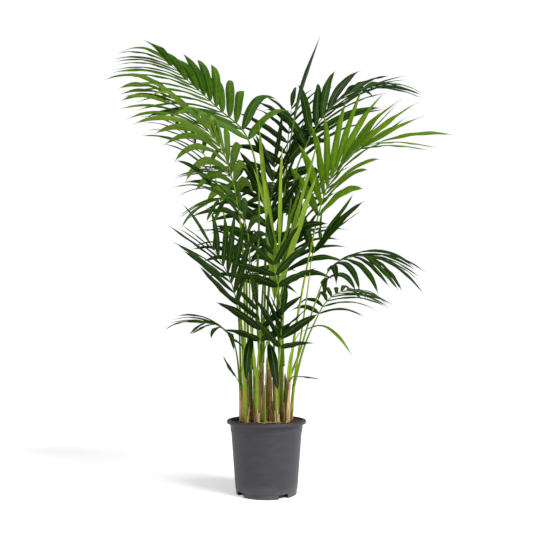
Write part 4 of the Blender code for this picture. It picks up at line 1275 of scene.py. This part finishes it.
def build_soil(material):
    """The filled pot: a turned body whose top is heaped and crumbly."""
    edge_low = SOIL_HEIGHT - 2 * SOIL_LUMP
    inner_high = soil_edge(edge_low)
    foot = FOOT_RADIUS - SLOT_DEPTH
    outline = [(0.0, WALL + GAP), (foot, WALL + GAP), (foot, FOOT_HEIGHT + GAP),
               (soil_edge(FOOT_HEIGHT), FOOT_HEIGHT + GAP), (inner_high, edge_low)]
    outline += [(inner_high * ring / SOIL_RINGS, SOIL_HEIGHT) for ring in range(SOIL_RINGS - 1, -1, -1)]
    bm = turned(outline, SOIL_SEGMENTS)
    for vert in bm.verts:
        if vert.co.z > edge_low + 1e-5:
            vert.co.z = soil_surface(vert.co.x, vert.co.y)
    return finish_piece("soil_body", bm, [material], "soil")


def build_crumbs(material):
    """Loose crumbs of peat lying on the soil, each a low faceted pebble."""
    dice = random.Random(11)
    bm = bmesh.new()
    reach = soil_edge(SOIL_HEIGHT) - CRUMB_MARGIN
    for _ in range(CRUMBS):
        turn = dice.uniform(0, math.tau)
        out = reach * math.sqrt(dice.random())
        x, y = out * math.cos(turn), out * math.sin(turn)
        size = dice.uniform(0.0012, 0.0034)
        angle = dice.uniform(0, math.tau)
        axis = Vector((dice.random(), dice.random(), 1)).normalized()
        stretch = (dice.uniform(0.8, 1.5), dice.uniform(0.7, 1.2), dice.uniform(0.5, 0.9), 1)
        place = Matrix.Translation((x, y, soil_surface(x, y) + size * 0.2))
        place = place @ Matrix.Rotation(angle, 4, axis) @ Matrix.Diagonal(stretch)
        bmesh.ops.create_icosphere(bm, subdivisions=1, radius=size, matrix=place)
    return finish_piece("soil_crumbs", bm, [material], "soil", smooth=False)


def build_straws(material):
    """Broken bits of dry sheath lying round the canes' feet."""
    dice = random.Random(23)
    bm = bmesh.new()
    tone_layer = bm.verts.layers.float.new("tone")
    for _ in range(STRAWS):
        x, y = dice.uniform(-0.075, 0.070), dice.uniform(-0.055, 0.030)
        if math.hypot(x, y) > soil_edge(SOIL_HEIGHT) - STRAW_MARGIN:
            x, y = x * 0.6, y * 0.6
        heading = dice.uniform(0, math.tau)
        length = dice.uniform(0.014, 0.050)
        thick = dice.uniform(0.0005, 0.0014)
        bend = dice.uniform(-0.8, 0.8)
        rings = []
        for step in range(STRAW_STEPS + 1):
            share = step / STRAW_STEPS
            turn = heading + bend * (share - 0.5)
            px = x + math.cos(turn) * length * (share - 0.5)
            py = y + math.sin(turn) * length * (share - 0.5)
            end_lift = 0.004 * dice.random() * abs(share - 0.5)
            centre = Vector((px, py, soil_surface(px, py) + thick + end_lift))
            side = Vector((-math.sin(turn), math.cos(turn), 0))
            girth = thick * (1 - 0.5 * abs(2 * share - 1))
            corners = [math.tau * corner / STRAW_SIDES for corner in range(STRAW_SIDES)]
            rings.append([centre + side * (girth * math.cos(corner) * 1.6)
                          + Vector((0, 0, girth * math.sin(corner))) for corner in corners])
        tube_into(bm, rings, [tone_layer], [[dice.uniform(0.3, 0.9)] * len(rings)])
    bmesh.ops.recalc_face_normals(bm, faces=bm.faces)
    return finish_piece("dry_straws", bm, [material], "soil")


# ---------------------------------------------------------------- stage

def build_stage():
    """A wide sheet of white paper under the pot."""
    bm = bmesh.new()
    bmesh.ops.create_grid(bm, x_segments=1, y_segments=1, size=FLOOR_HALF)
    mesh = bpy.data.meshes.new("floor")
    bm.to_mesh(mesh)
    bm.free()
    mesh.materials.append(floor_material())
    floor = bpy.data.objects.new("floor", mesh)
    bpy.context.scene.collection.objects.link(floor)


def soft_lamp(name, place, spread, strength):
    """A distant lamp, as wide in the sky as a large softbox, shining from a place towards the origin."""
    light = bpy.data.lights.new(name, "SUN")
    light.angle = math.radians(spread)
    light.energy = strength
    lamp = bpy.data.objects.new(name, light)
    lamp.location = place
    lamp.rotation_euler = (-Vector(place)).to_track_quat("-Z", "Y").to_euler()
    bpy.context.scene.collection.objects.link(lamp)


def build_light():
    """A white studio: a broad soft key from the upper right, a weaker lamp in front and an even fill."""
    world = bpy.data.worlds.new("white_studio")
    world.use_nodes = True
    tree = world.node_tree
    tree.nodes.clear()
    path = add(tree, "LightPath")
    fill = add(tree, "Background", inputs={"Color": (1.0, 1.0, 1.0, 1.0), "Strength": STUDIO_FILL})
    backdrop = add(tree, "Background", inputs={"Color": (1.0, 1.0, 1.0, 1.0), "Strength": 1.0})
    both = add(tree, "MixShader", inputs={
        "Fac": path.outputs["Is Camera Ray"], 1: fill.outputs["Background"],
        2: backdrop.outputs["Background"]})
    add(tree, "OutputWorld", inputs={"Surface": both.outputs["Shader"]})
    bpy.context.scene.world = world
    soft_lamp(*KEY_LAMP)
    soft_lamp(*FRONT_LAMP)
    bpy.context.scene.view_settings.view_transform = "Standard"


def build_camera():
    """A standing view from low in front, tilted up a little, with the whole plant and pot in it."""
    camera = bpy.data.cameras.new("camera")
    camera.sensor_width = SENSOR
    camera.lens = LENS
    eye = bpy.data.objects.new("camera", camera)
    eye.location = EYE
    eye.rotation_euler = (math.radians(90 + EYE_TILT), 0.0, 0.0)
    bpy.context.scene.collection.objects.link(eye)
    bpy.context.scene.camera = eye


def main():
    """Set the view and light, then build each piece of the plant."""
    build_camera()
    build_light()
    build_stage()
    plastic, peat, fibre = pot_material(), soil_material(), husk_material()
    skin, petiole = cane_material(), stalk_material()
    upper = leaf_material("satin_palm_leaf", LEAF_GREENS, 0.40, 0.35 * MM)
    under = leaf_material("matte_leaf_underside", LEAF_UNDERSIDES, 0.62, 0.5 * MM)
    build_pot(plastic)
    build_soil(peat)
    build_crumbs(peat)
    build_straws(fibre)
    for name in CANE_LOOKS:
        build_cane(name, skin)
    for name in HUSKS:
        build_husk(name, fibre)
    build_stubs(skin)
    for row in SPEARS:
        build_spear(row, petiole)
    for frond in plan_fronds():
        build_stalk(frond, petiole)
        build_leaflets(frond, [upper, under])


main()
